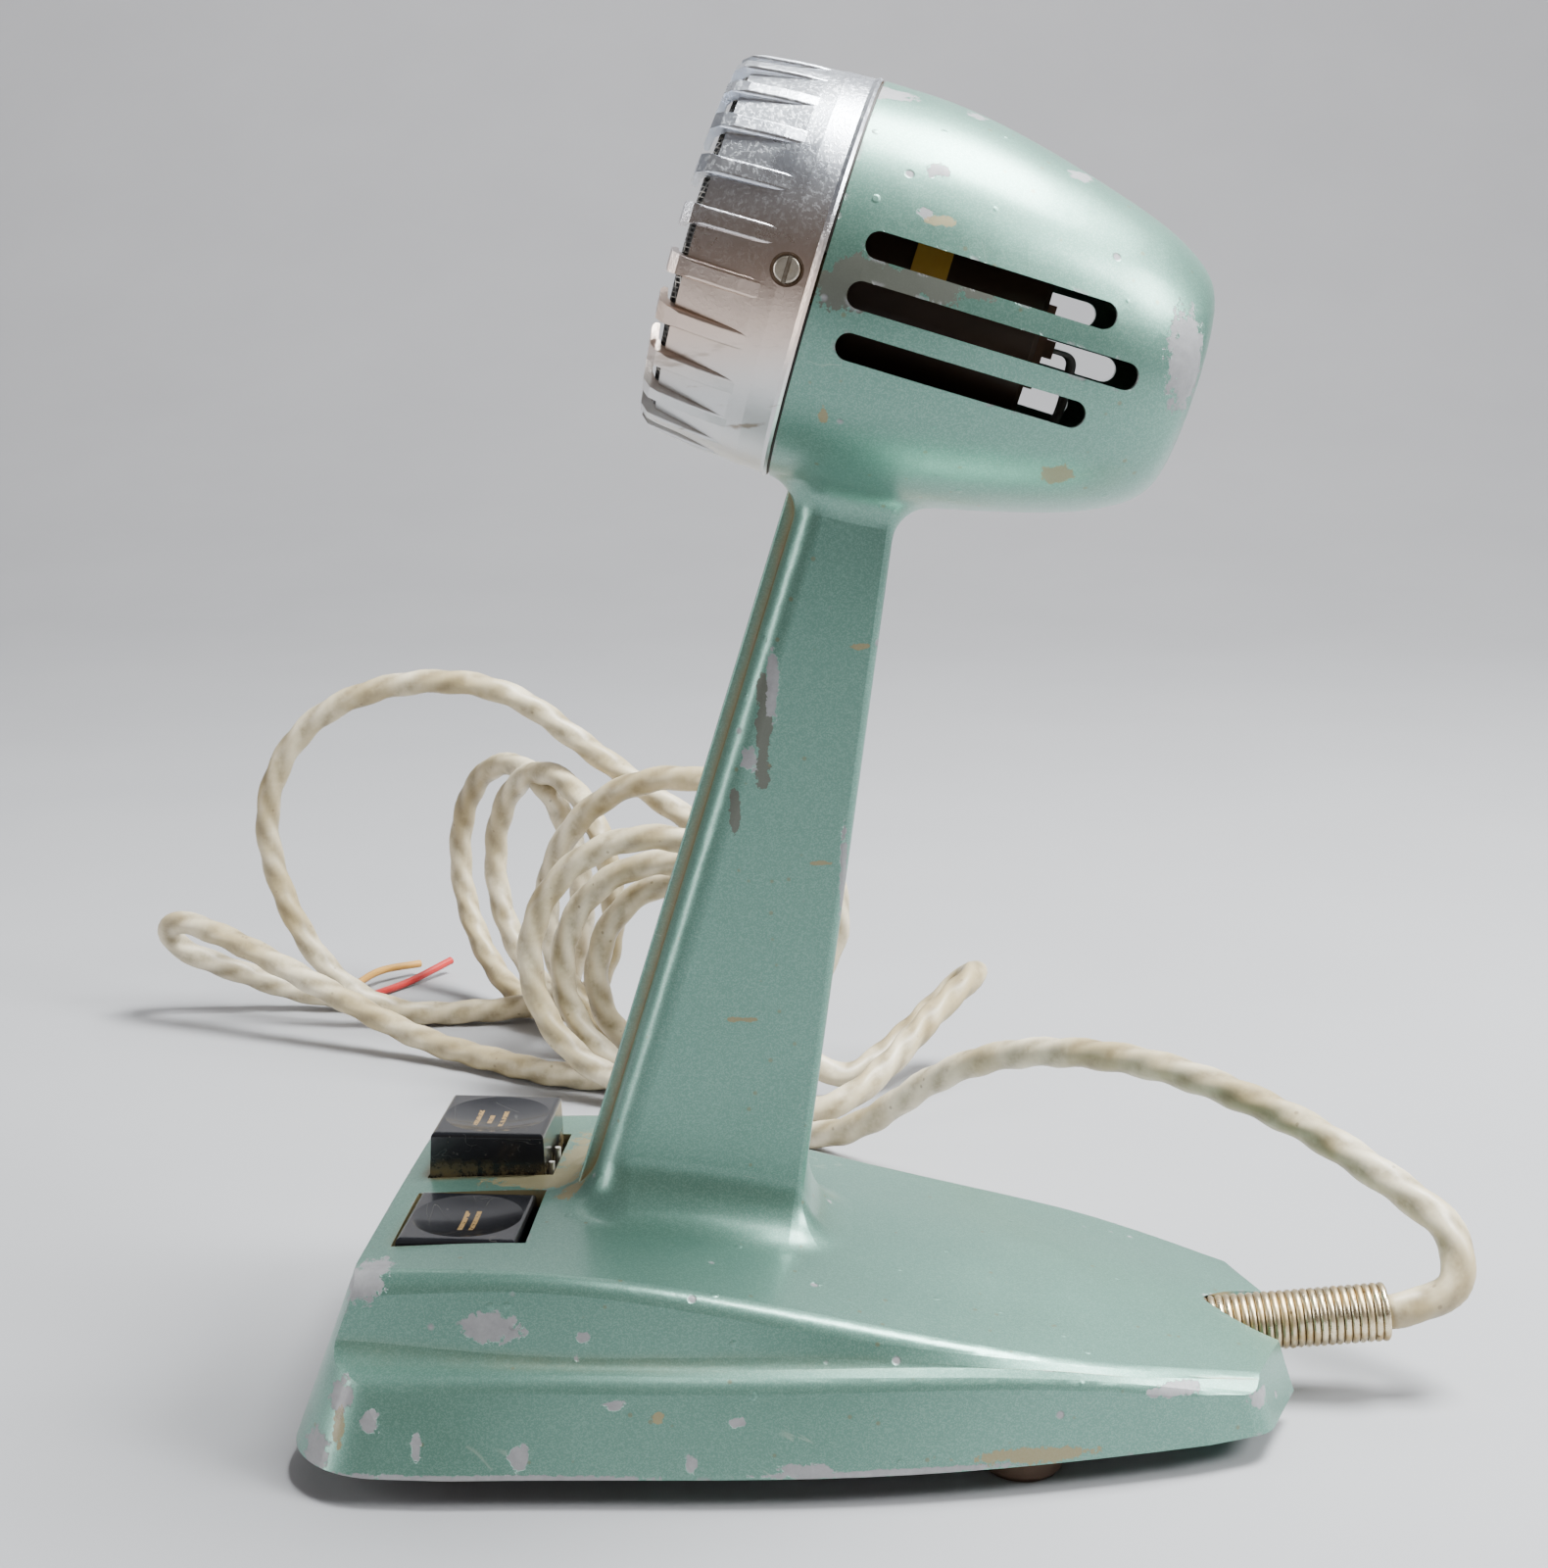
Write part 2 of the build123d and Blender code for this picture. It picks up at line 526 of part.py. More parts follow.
def cable_clamp():
    """Block on the base plate that grips the cable's inner end."""
    grip = SPRING.from_local_coords(Vector(0, 0, INNER_END + 3))
    clamp = block((-9, 9), (grip.Y - 2.5, grip.Y + 2.5), (RIM_Z + 1.6, grip.Z + 5.0))
    return clamp - cable_inner()


def wire(points, diameter):
    """Round lead along straight runs joined by the largest arcs they allow."""
    path = FilletPolyline(*points, radius=arc_radii(points))
    return sweep(Plane(origin=path @ 0, z_dir=path % 0) * Circle(diameter / 2), path=path)


def head_leads():
    """Thin leads from the terminal board down to the stem."""
    leads = []
    for x in (-7, 0, 7):
        inside = [(x, 0, 39.7), (x, 0, 43.5), (x * 0.7, -12, 44.5), (x * 0.4, -24.2, 38.0),
                  (x * 0.3, -25.0, 22.0), (x * 0.28, -27.0, 8.0)]
        points = [HEAD.from_local_coords(Vector(*p)) for p in inside]
        points += [Vector(-x * 0.28, -9.2, 160.0), Vector(-x * 0.28, -14.9, 140.0)]
        leads.append(wire(points, 0.9))
    return Compound(children=leads)


def stem_leads():
    """The same leads inside the stem, as one bundle."""
    return wire([(0, flank_y(139.6) + 5.0, 139.6), (0, flank_y(90) + 5.2, 90), (0, flank_y(46) + 5.0, 46),
                 (0, -45.5, 34), (0, -43, 27), (0, -35, 24)], 3.0)


def base_leads():
    """Leads from the clamped cable to the transformer."""
    leads = [wire([(x * 0.4, 40.5, 9.5), (x * 1.4, 31, 12), (x * 2.6, 19, 15), (x * 3, 7.6, 15)], 1.4)
             for x in (-1.6, 1.6)]
    return Compound(children=leads)


# ---------------------------------------------------------------- loose cable
def cord_tube(name, points):
    """Free cable: straight runs joined by arcs, its length and radii printed."""
    points = [Vector(*p) for p in points]
    radii = arc_radii(points)
    path = FilletPolyline(*points, radius=radii)
    tube = sweep(Plane(origin=path @ 0, z_dir=path % 0) * Circle(CABLE_D / 2), path=path)
    section = math.pi * CABLE_D ** 2 / 4
    print(name, "length", round(path.length, 1), "volume/section", round(tube.volume / section, 1),
          "radii", [round(r, 1) for r in radii])
    return tube


# the arch from the spring over to the bundle
ARCH = [SPRING_END, tuple(Vector(*SPRING_END) + SPRING.z_dir * 12), (-5.5, 109.6, 28.6), (-17, 98, 35),
        (-38, 81, 41), (-68, 52, 43), (-98, 20, 32), (-116, -8, LOW), (-132, -28, LOW), (-143, -50, LOW)]
# a tight fold that lies beside the base
FOLD = [(-146, -24, 4.5), (-155, -8, 5), (-170.5, 6.2, 12.9), (-185.8, 15.2, 18), (-186, 22.7, 25.3),
        (-176.8, 25.3, 29), (-161, 13.5, 22), (-144, 2.5, 13.5), (-133, -9, 6.5), (-136, -25, LOW)]
# the big standing loop on the far side of the bundle
BIG_LOOP = [(-207, -78, 79), (-208, -101, 97), (-210, -131, 98), (-213, -158, 86), (-214, -171, 62),
            (-213, -166, 36), (-211, -152, 13), (-212, -134, LOW), (-216, -114, LOW)]
# the low loop that ends in bare leads
LOW_LOOP = [(-160, -78, LOW), (-172, -98, LOW), (-184, -122, 5), (-195, -152, 16.5), (-206, -180, 27),
            (-212, -196, 30), (-218.2, -200.7, 23.7), (-222.5, -196, 17), (-225, -180, 10.5),
            (-227, -165, 4.6), (-226, -150, LOW)]


def cable_bundle():
    """Outer form of the loops that stand on edge behind the stem."""
    faces = [Plane(origin=(x, y, high), x_dir=(0, 1, 0), z_dir=(1, 0, 0)) * Ellipse(wide, high)
             for x, y, high, wide in (BUNDLE_NEAR, BUNDLE_FAR)]
    return loft(faces)


def bare_leads():
    """The two insulated leads that stick out of the cable's free end."""
    red = [(-226, -150.2, 2.6), (-238, -147, 1.3), (-250, -140, 1.3), (-266, -130, 4.0)]
    amber = [(-226.8, -151.0, 4.4), (-240, -153, 3.4), (-254, -149, 4.2), (-264, -139, 3.4)]
    return {name: wire([Vector(*p) for p in points], 2.2)
            for name, points in (("lead_red", red), ("lead_amber", amber))}


if __name__ == "__main__":
    os.makedirs("parts", exist_ok=True)
    body = cast_body()
    save(body, "cast_body")
    save(stem_strip(body), "stem_strip")
    save(grille_ring(), "grille_ring")
    save(ring_screws(), "ring_screws")
    save(ring_gasket(), "ring_gasket")
    save(mesh_cup(), "mesh_cup")
    for name, solid in cartridge().items():
        save(solid, name)
    save(base_plate(), "base_plate")
    save(feet(), "feet")
    save(base_screws(), "base_screws")
    save(button(-1, TALK_TOP_Z), "talk_button")
    save(button(1, LOCK_TOP_Z), "lock_button")
    save(return_spring(-1, TALK_TOP_Z), "talk_spring")
    save(return_spring(1, LOCK_TOP_Z), "lock_spring")
    save(guide_pins(), "guide_pins")
    save(switch_frame(), "switch_frame")
    save(lever_pin(), "lever_pin")
    save(lever(-1, LEVER_TURN), "talk_lever")
    save(lever(1, 0), "lock_lever")
    save(contact_stacks(), "contact_stacks")
    save(stack_bracket(), "stack_bracket")
    for name, solid in transformer().items():
        save(solid, name)
    save(strain_spring(), "strain_spring")
    save(cable_inner(), "cable_inner")
    save(cable_clamp(), "cable_clamp")
    save(head_leads(), "head_leads")
    save(stem_leads(), "stem_leads")
    save(base_leads(), "base_leads")
    save(cord_tube("arch", ARCH), "cable_arch")
    save(cord_tube("fold", FOLD), "cable_fold")
    save(cord_tube("big loop", BIG_LOOP), "cable_big_loop")
    save(cord_tube("low loop", LOW_LOOP), "cable_low_loop")
    save(cable_bundle(), "cable_bundle")
    for name, solid in bare_leads().items():
        save(solid, name)
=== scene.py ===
import math

import bpy
from mathutils import Matrix, Vector


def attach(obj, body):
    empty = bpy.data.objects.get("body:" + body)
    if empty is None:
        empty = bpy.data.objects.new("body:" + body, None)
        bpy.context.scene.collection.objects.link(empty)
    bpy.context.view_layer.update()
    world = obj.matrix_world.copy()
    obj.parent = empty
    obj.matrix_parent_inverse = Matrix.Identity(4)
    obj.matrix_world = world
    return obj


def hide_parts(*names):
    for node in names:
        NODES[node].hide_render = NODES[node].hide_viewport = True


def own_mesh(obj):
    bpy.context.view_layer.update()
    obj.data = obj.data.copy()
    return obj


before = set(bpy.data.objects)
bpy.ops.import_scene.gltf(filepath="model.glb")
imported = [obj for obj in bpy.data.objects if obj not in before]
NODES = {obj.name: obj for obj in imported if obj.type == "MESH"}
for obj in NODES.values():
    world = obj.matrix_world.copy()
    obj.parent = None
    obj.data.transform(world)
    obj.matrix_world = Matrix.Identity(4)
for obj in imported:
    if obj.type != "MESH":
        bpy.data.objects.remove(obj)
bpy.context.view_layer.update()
MM = 0.001
bpy.ops.object.select_all(action="DESELECT")

# ---------------------------------------------------------------- sizes shared with the part
HEAD_TILT = math.radians(16.65)
SEAM = Vector((0.0, -7.6, 199.8)) * MM
CABLE_D = 6.8
LOW = CABLE_D / 2
BUTTON_X, SEAT_Y = 15.7, -70.55
TALK_TOP_Z, LOCK_TOP_Z = 44.8, 36.8


# ---------------------------------------------------------------- camera, light, table
def add_camera():
    data = bpy.data.cameras.new("camera")
    data.sensor_fit = "HORIZONTAL"
    data.sensor_width = 36.0
    data.lens = 54.68
    data.clip_end = 20
    camera = bpy.data.objects.new("camera", data)
    bpy.context.collection.objects.link(camera)
    camera.location = Vector((407.7, 8.14, 195.1)) * MM
    turn, dip = math.radians(3.49), math.radians(11.39)
    aim = Vector((-math.cos(turn) * math.cos(dip), -math.sin(turn) * math.cos(dip), -math.sin(dip)))
    camera.rotation_euler = aim.to_track_quat("-Z", "Y").to_euler()
    bpy.context.scene.camera = camera


def softbox(name, place, aim, size, watts, colour=(1, 1, 1)):
    data = bpy.data.lights.new(name, "AREA")
    data.shape = "RECTANGLE"
    data.size, data.size_y = size
    data.energy = watts
    data.color = colour
    light = bpy.data.objects.new(name, data)
    bpy.context.collection.objects.link(light)
    light.location = place
    light.rotation_euler = (Vector(aim) - Vector(place)).to_track_quat("-Z", "Y").to_euler()


def light_studio():
    softbox("overhead", (-0.10, 0.35, 1.00), (0, 0.0, 0.10), (0.42, 0.42), 40.0, (0.97, 1.0, 1.0))
    softbox("rear_key", (0.25, 0.95, 0.80), (0, 0, 0.08), (0.40, 0.40), 20.0, (0.97, 1.0, 1.0))
    softbox("front_fill", (0.30, -1.00, 0.35), (0, 0, 0.12), (0.22, 0.7), 5.0)
    softbox("backdrop_light", (-1.2, 0.0, 1.6), (-2.2, 0.0, 0.6), (3.0, 0.8), 45.0)
    world = bpy.data.worlds.new("studio")
    bpy.context.scene.world = world
    world.use_nodes = True
    tree = world.node_tree
    tree.nodes.clear()
    aim = add(tree, "TexCoord").outputs["Generated"]
    parts = add(tree, "SeparateXYZ", {"Vector": aim}).outputs
    fade = spread(tree, parts["Z"], 0.0, 0.8)
    colour = blend_colour(tree, fade, (0.22, 0.22, 0.23, 1), (0.17, 0.17, 0.18, 1))
    room = spread(tree, parts["X"], 0.1, 0.9)
    colour = blend_colour(tree, room, colour, (0.17, 0.135, 0.11, 1))
    back = add(tree, "Background", {"Color": colour, "Strength": 0.85}).outputs["Background"]
    tree.links.new(back, add(tree, "OutputWorld").inputs["Surface"])


BACKDROP_X = -2.2
BACKDROP_RISE = 3.0
BACKDROP_CURVE = 1.2


def add_table():
    """Pale paper that covers the table and curves up far behind the object."""
    bpy.ops.mesh.primitive_plane_add(size=8, location=(BACKDROP_X + 4, 0, 0))
    table = bpy.context.object
    table.name = "table"
    bpy.ops.object.transform_apply(location=True)
    for edge in table.data.edges:
        edge.select = all(table.data.vertices[i].co.x < BACKDROP_X + 0.01 for i in edge.vertices)
    for face in table.data.polygons:
        face.select = False
    for vertex in table.data.vertices:
        vertex.select = vertex.co.x < BACKDROP_X + 0.01
    bpy.ops.object.mode_set(mode="EDIT")
    bpy.ops.mesh.select_mode(type="EDGE")
    bpy.ops.mesh.extrude_region_move(TRANSFORM_OT_translate={"value": (0, 0, BACKDROP_RISE)})
    bpy.ops.object.mode_set(mode="OBJECT")
    curve = table.modifiers.new("curve", "BEVEL")
    curve.width = BACKDROP_CURVE
    curve.segments = 24
    bpy.ops.object.modifier_apply(modifier="curve")
    bpy.ops.object.shade_smooth()
    material, tree, shader = new_material("table_paper")
    mottle = noise(tree, object_place(tree), 9, 4)
    colour = blend_colour(tree, mottle, (0.33, 0.33, 0.345, 1), (0.37, 0.37, 0.385, 1))
    paint(tree, shader, "Base Color", colour)
    grain = noise(tree, object_place(tree), 900, 2)
    paint(tree, shader, "Normal", bump(tree, grain, 0.08, 0.0002))
    shader.inputs["Roughness"].default_value = 0.85
    table.data.materials.append(material)
    bpy.ops.object.select_all(action="DESELECT")


# ---------------------------------------------------------------- plain calls for nodes
def add(tree, kind, inputs=None, **settings):
    """New shader node; each input is a number, a colour or another node's output."""
    node = tree.nodes.new("ShaderNode" + kind)
    for key, value in settings.items():
        setattr(node, key, value)
    for key, value in (inputs or {}).items():
        if isinstance(value, bpy.types.NodeSocket):
            tree.links.new(value, node.inputs[key])
        else:
            node.inputs[key].default_value = value
    return node


def paint(tree, shader, socket, value):
    tree.links.new(value, shader.inputs[socket])


def new_material(name, **fixed):
    """Material with one Principled shader; fixed numbers go straight on its sockets."""
    material = bpy.data.materials.new(name)
    material.use_nodes = True
    tree = material.node_tree
    shader = tree.nodes["Principled BSDF"]
    for key, value in fixed.items():
        shader.inputs[key.replace("_", " ").title().replace("Ior", "IOR")].default_value = value
    return material, tree, shader


def object_place(tree):
    return add(tree, "TexCoord").outputs["Object"]


def mapped(tree, place, turn=(0, 0, 0), scale=(1, 1, 1)):
    return add(tree, "Mapping", {"Vector": place, "Rotation": turn, "Scale": scale}).outputs[0]


def noise(tree, place, scale, detail=3, rough=0.55, distortion=0.0):
    return add(tree, "TexNoise", {"Vector": place, "Scale": scale, "Detail": detail, "Roughness": rough,
                                  "Distortion": distortion}).outputs["Fac"]


def sums(tree, how, a, b=0.0):
    return add(tree, "Math", {0: a, 1: b}, operation=how, use_clamp=False).outputs[0]


def spread(tree, value, low, high, out_low=0.0, out_high=1.0):
    """Smooth step of a value between two limits."""
    return add(tree, "MapRange", {"Value": value, "From Min": low, "From Max": high, "To Min": out_low,
                                  "To Max": out_high}, interpolation_type="SMOOTHSTEP").outputs["Result"]


def blend_colour(tree, mask, below, above):
    return add(tree, "Mix", {0: mask, 6: below, 7: above}, data_type="RGBA").outputs[2]


def blend_value(tree, mask, below, above):
    return add(tree, "Mix", {0: mask, 2: below, 3: above}, data_type="FLOAT").outputs[0]


def bump(tree, height, strength, distance, normal=None):
    inputs = {"Height": height, "Strength": strength, "Distance": distance}
    if normal is not None:
        inputs["Normal"] = normal
    return add(tree, "Bump", inputs).outputs["Normal"]


def start_group(name, inputs, outputs):
    """Empty node group with named sockets; inputs map a name to its default."""
    tree = bpy.data.node_groups.new(name, "ShaderNodeTree")
    for label, default in inputs.items():
        kind = "NodeSocketVector" if isinstance(default, tuple) else "NodeSocketFloat"
        socket = tree.interface.new_socket(name=label, in_out="INPUT", socket_type=kind)
        socket.default_value = default
    for label in outputs:
        tree.interface.new_socket(name=label, in_out="OUTPUT", socket_type="NodeSocketFloat")
    return tree, tree.nodes.new("NodeGroupInput").outputs, tree.nodes.new("NodeGroupOutput").inputs


def effect(tree, group, **values):
    """A shared effect placed in a material, with this material's own values."""
    node = tree.nodes.new("ShaderNodeGroup")
    node.node_tree = group
    for key, value in values.items():
        label = key.replace("_", " ").capitalize()
        if isinstance(value, bpy.types.NodeSocket):
            tree.links.new(value, node.inputs[label])
        else:
            node.inputs[label].default_value = value
    return node.outputs[0]


# ---------------------------------------------------------------- shared effects
def edge_wear_group():
    """Worn strip along edges, broken up by noise."""
    tree, given, out = start_group("edge_wear", {"Radius": 0.001, "Breakup": 220.0, "Amount": 0.5}, ["Mask"])
    rounded = add(tree, "Bevel", {"Radius": given["Radius"]}, samples=4).outputs[0]
    flat = add(tree, "NewGeometry").outputs["Normal"]
    together = add(tree, "VectorMath", {0: rounded, 1: flat}, operation="DOT_PRODUCT").outputs["Value"]
    edge = spread(tree, sums(tree, "SUBTRACT", 1.0, together), 0.01, 0.16)
    ragged = noise(tree, object_place(tree), given["Breakup"], 5, 0.65)
    limit = sums(tree, "SUBTRACT", 1.0, given["Amount"])
    above = sums(tree, "ADD", limit, 0.04)
    worn = add(tree, "MapRange", {"Value": ragged, "From Min": limit, "From Max": above})
    tree.links.new(sums(tree, "MULTIPLY", edge, worn.outputs[0]), out["Mask"])
    return tree


def crevice_group():
    """Mask where surfaces meet, from ambient occlusion broken up by noise; some materials use it for real
    dirt and patina, others for painted shade in corners.
    """
    tree, given, out = start_group("crevice", {"Reach": 0.004, "Amount": 1.0}, ["Mask"])
    open_sky = add(tree, "AmbientOcclusion", {"Distance": given["Reach"]}, samples=6).outputs["AO"]
    shut = sums(tree, "SUBTRACT", 1.0, open_sky)
    cloud = noise(tree, object_place(tree), 160, 4, 0.6)
    wanted = sums(tree, "MULTIPLY", shut, given["Amount"])
    strength = sums(tree, "MULTIPLY", wanted, sums(tree, "ADD", cloud, 0.5))
    tree.links.new(spread(tree, strength, 0.10, 0.75), out["Mask"])
    return tree


def speck_group():
    """Scattered small dots."""
    tree, given, out = start_group("specks", {"Scale": 400.0, "Size": 0.2, "Share": 0.3}, ["Mask"])
    place = object_place(tree)
    cells = add(tree, "TexVoronoi", {"Vector": place, "Scale": given["Scale"], "Randomness": 1.0})
    dot = add(tree, "MapRange", {"Value": cells.outputs["Distance"], "From Min": given["Size"],
                                 "From Max": sums(tree, "MULTIPLY", given["Size"], 0.6)}).outputs[0]
    pick = add(tree, "SeparateColor", {"Color": cells.outputs["Color"]}).outputs[0]
    kept = sums(tree, "LESS_THAN", pick, given["Share"])
    tree.links.new(sums(tree, "MULTIPLY", dot, kept), out["Mask"])
    return tree


def chip_group():
    """Ragged patch round a given point, where the coating has come off."""
    tree, given, out = start_group("chip", {"Centre": (0.0, 0.0, 0.0), "Reach": (0.003, 0.003, 0.003),
                                            "Ragged": 0.9, "Breakup": 300.0}, ["Mask"])
    place = object_place(tree)
    away = add(tree, "VectorMath", {0: place, 1: given["Centre"]}, operation="SUBTRACT").outputs[0]
    scaled = add(tree, "VectorMath", {0: away, 1: given["Reach"]}, operation="DIVIDE").outputs[0]
    distance = add(tree, "VectorMath", {0: scaled}, operation="LENGTH").outputs["Value"]
    coarse = sums(tree, "SUBTRACT", noise(tree, place, given["Breakup"], 6, 0.72), 0.5)
    torn = sums(tree, "MULTIPLY", coarse, sums(tree, "MULTIPLY", given["Ragged"], 3.0))
    edge = sums(tree, "ADD", distance, torn)
    tree.links.new(spread(tree, edge, 1.0, 0.92), out["Mask"])
    return tree


def scratch_group():
    """Thin broken lines along one direction."""
    tree, given, out = start_group("scratches", {"Place": (0.0, 0.0, 0.0), "Scale": 60.0, "Width": 0.012,
                                                 "Share": 0.55}, ["Mask"])
    stretched = mapped(tree, given["Place"], scale=(1.0, 0.12, 1.0))
    wave = noise(tree, stretched, given["Scale"], 2, 0.5, 0.6)
    line = spread(tree, sums(tree, "ABSOLUTE", sums(tree, "SUBTRACT", wave, 0.5)), given["Width"], 0.0)
    gaps = noise(tree, given["Place"], sums(tree, "MULTIPLY", given["Scale"], 0.7), 2)
    kept = sums(tree, "GREATER_THAN", gaps, given["Share"])
    tree.links.new(sums(tree, "MULTIPLY", line, kept), out["Mask"])
    return tree


EDGE_WEAR = edge_wear_group()
CREVICE = crevice_group()
SPECKS = speck_group()
CHIP = chip_group()
SCRATCHES = scratch_group()


def layers(tree, masks):
    """Union of several masks."""
    total = masks[0]
    for mask in masks[1:]:
        total = sums(tree, "MAXIMUM", total, mask)
    return total


# ---------------------------------------------------------------- enamel of the casting
# centre and reach, in millimetres, of the larger places where the enamel is off
BARE_CHIPS = (
    ((42.8, -61.8, 27.9), (3, 5.5, 2.6)), ((39.4, -84.5, 33.7), (4, 4.2, 3.2)),
    ((36.0, -82.5, 35.6), (4, 3, 1.2)), ((47.5, -86.5, 17.1), (3, 2.4, 3.0)),
    ((50.5, -80.8, 14.3), (3, 1.6, 1.9)), ((52.1, -73.0, 10.1), (3, 1.0, 2.4)),
    ((51.7, -55.8, 9.0), (3, 1.7, 2.2)), ((50.3, -27.5, 8.0), (3, 1.1, 1.5)),
    ((49.6, -40.0, 17.5), (2, 1.8, 1.0)), ((33.7, 53.6, 15.7), (3, 7.0, 1.1)),
    ((28.1, 69.4, 11.5), (4, 3.0, 1.6)), ((49.0, -8.0, 6.5), (3, 5.0, 1.4)),
    ((53.5, -60.0, 5.6), (4, 30.0, 0.7)), ((46.5, 10.0, 5.9), (5, 34.0, 0.6)),
    ((49.0, -92.0, 8.0), (4, 4.0, 3.6)), ((43.5, -46.0, 26.9), (2, 1.3, 0.9)),
    ((42.5, -47.0, 23.2), (2, 1.0, 0.8)), ((47.8, -20.0, 14.5), (2, 1.6, 0.8)),
    ((19.7, 51.1, 187.5), (5, 4.0, 8.5)), ((26.1, 10.7, 216.6), (2, 1.8, 1.3)),
    ((13.4, 3.2, 229.6), (4, 5.5, 1.6)), ((8.5, 17.5, 226.4), (3, 2.0, 1.0)),
    ((9.3, 34.3, 216.5), (4, 3.2, 1.0)), ((31.0, 9.0, 210.0), (2, 1.4, 1.0)),
    ((9.5, -16.4, 131.9), (1.6, 1.1, 6.0)), ((9.8, -20.4, 119.0), (1.6, 1.4, 2.2)),
    ((8.3, -4.0, 93.0), (1.6, 0.7, 15)), ((-41.0, -70.0, 34.5), (4, 6.0, 2.0)),
    ((-48.0, -84.0, 16.0), (4, 4.0, 4.0)), ((-52.0, -50.0, 9.0), (3, 4.0, 3)),
    ((-20.0, 50.0, 190.0), (4, 3.0, 4.5)), ((-26.0, 8.0, 217.0), (3, 2.5, 1.6)),
    ((-10.0, -95.0, 12.0), (6, 3, 2)), ((18.0, -89.0, 34.5), (8, 2.5, 1.6)),
    ((-30.0, 60.0, 13.0), (3, 4.0, 1.5)), ((0.0, 56.5, 187.0), (4, 2, 3)),
)
# the paint is rubbed down to a dull grey brown round the front ends of the vent slots
RUBBED = (
    ((33.2, -0.5, 199.3), (4, 8.0, 4.4)), ((31.5, 10.0, 199.5), (4, 12, 3.2)),
    ((-33.2, -1, 199), (4, 6, 4)), ((9.6, -18.0, 124.0), (1.4, 1.3, 9.0)),
    ((9.6, -23.0, 111.0), (1.4, 1.0, 4.0)),
)
# tan dirt and rust: on the deck by the talk button, along the skirt, at the strip
TAN_PATCHES = (
    ((-14.0, -54.5, 37.4), (14, 3.2, 2)), ((-2.0, -58.0, 37.4), (5, 12, 2)),
    ((6.5, -52.5, 37.8), (3, 3.0, 3)), ((48.6, -32.9, 15.4), (2, 0.9, 1.1)),
    ((41.7, 30.2, 7.2), (4, 13, 1.3)), ((50.5, -86.5, 13.0), (3, 1.2, 4.0)),
    ((30.4, 11.1, 208.8), (2, 3.0, 0.8)), ((19.0, 30.9, 168.7), (3, 2.6, 1.6)),
    ((27.8, -7.2, 178.5), (2, 0.8, 1.4)), ((9.7, -21.9, 72.3), (2, 3.2, 0.5)),
    ((8.7, -8.5, 100.6), (2, 2.2, 0.4)), ((8.1, -1.1, 138.6), (2, 2.0, 0.5)),
)


def patches(tree, listed, ragged, breakup):
    """Union of the listed patches, each with its centre and reach in millimetres."""
    return layers(tree, [effect(tree, CHIP, centre=tuple(c * MM for c in centre),
                                reach=tuple(r * MM for r in reach), ragged=ragged, breakup=breakup)
                         for centre, reach in listed])


def enamel():
    """Sea green metallic enamel on grey zinc, with chips, rubbed places and dirt in the corners."""
    material, tree, shader = new_material("sea_green_enamel", coat_weight=0.35, coat_roughness=0.18)
    place = object_place(tree)
    cloud = noise(tree, place, 26, 4)
    colour = blend_colour(tree, cloud, (0.108, 0.240, 0.192, 1), (0.148, 0.296, 0.242, 1))
    flake = add(tree, "TexVoronoi", {"Vector": place, "Scale": 5200.0}).outputs["Color"]
    glint = add(tree, "SeparateColor", {"Color": flake}).outputs[1]
    colour = blend_colour(tree, spread(tree, glint, 0.3, 1.0, 0.0, 0.22), colour, (0.40, 0.60, 0.50, 1))
    rubbed = sums(tree, "MULTIPLY", patches(tree, RUBBED, 1.0, 230), 0.88)
    colour = blend_colour(tree, rubbed, colour, (0.105, 0.095, 0.078, 1))
    dirt_spots = effect(tree, SPECKS, scale=330.0, size=0.16, share=0.20)
    colour = blend_colour(tree, sums(tree, "MULTIPLY", dirt_spots, 0.6), colour, (0.20, 0.18, 0.10, 1))
    bare_spots = effect(tree, SPECKS, scale=150.0, size=0.13, share=0.22)
    bare = layers(tree, [patches(tree, BARE_CHIPS, 0.85, 620), bare_spots,
                         effect(tree, EDGE_WEAR, radius=0.0011, breakup=170.0, amount=0.44)])
    zinc = blend_colour(tree, noise(tree, place, 500, 4, 0.7), (0.19, 0.19, 0.20, 1), (0.36, 0.36, 0.37, 1))
    colour = blend_colour(tree, bare, colour, zinc)
    tan = layers(tree, [sums(tree, "MULTIPLY", patches(tree, TAN_PATCHES, 1.0, 420), 0.75),
                        sums(tree, "MULTIPLY", effect(tree, CREVICE, reach=0.0028, amount=2.0), 0.85)])
    colour = blend_colour(tree, tan, colour, (0.30, 0.215, 0.095, 1))
    turned = mapped(tree, place, turn=(0.5, 0.0, 0.2))
    lines = effect(tree, SCRATCHES, place=turned, scale=90.0, width=0.006, share=0.66)
    colour = blend_colour(tree, sums(tree, "MULTIPLY", lines, 0.35), colour, (0.42, 0.50, 0.42, 1))
    paint(tree, shader, "Base Color", colour)
    dull = layers(tree, [bare, tan, rubbed])
    rough = blend_value(tree, noise(tree, place, 60, 3), 0.30, 0.42)
    paint(tree, shader, "Roughness", blend_value(tree, dull, rough, 0.62))
    paint(tree, shader, "Metallic", blend_value(tree, dull, 0.62, 0.25))
    skin = bump(tree, noise(tree, place, 1500, 2), 0.05, 0.0002)
    lumps = bump(tree, effect(tree, SPECKS, scale=260.0, size=0.20, share=0.10), 0.35, 0.0003, skin)
    sunk = bump(tree, sums(tree, "SUBTRACT", 1.0, bare), 0.5, 0.00025, lumps)
    paint(tree, shader, "Normal", sunk)
    return material


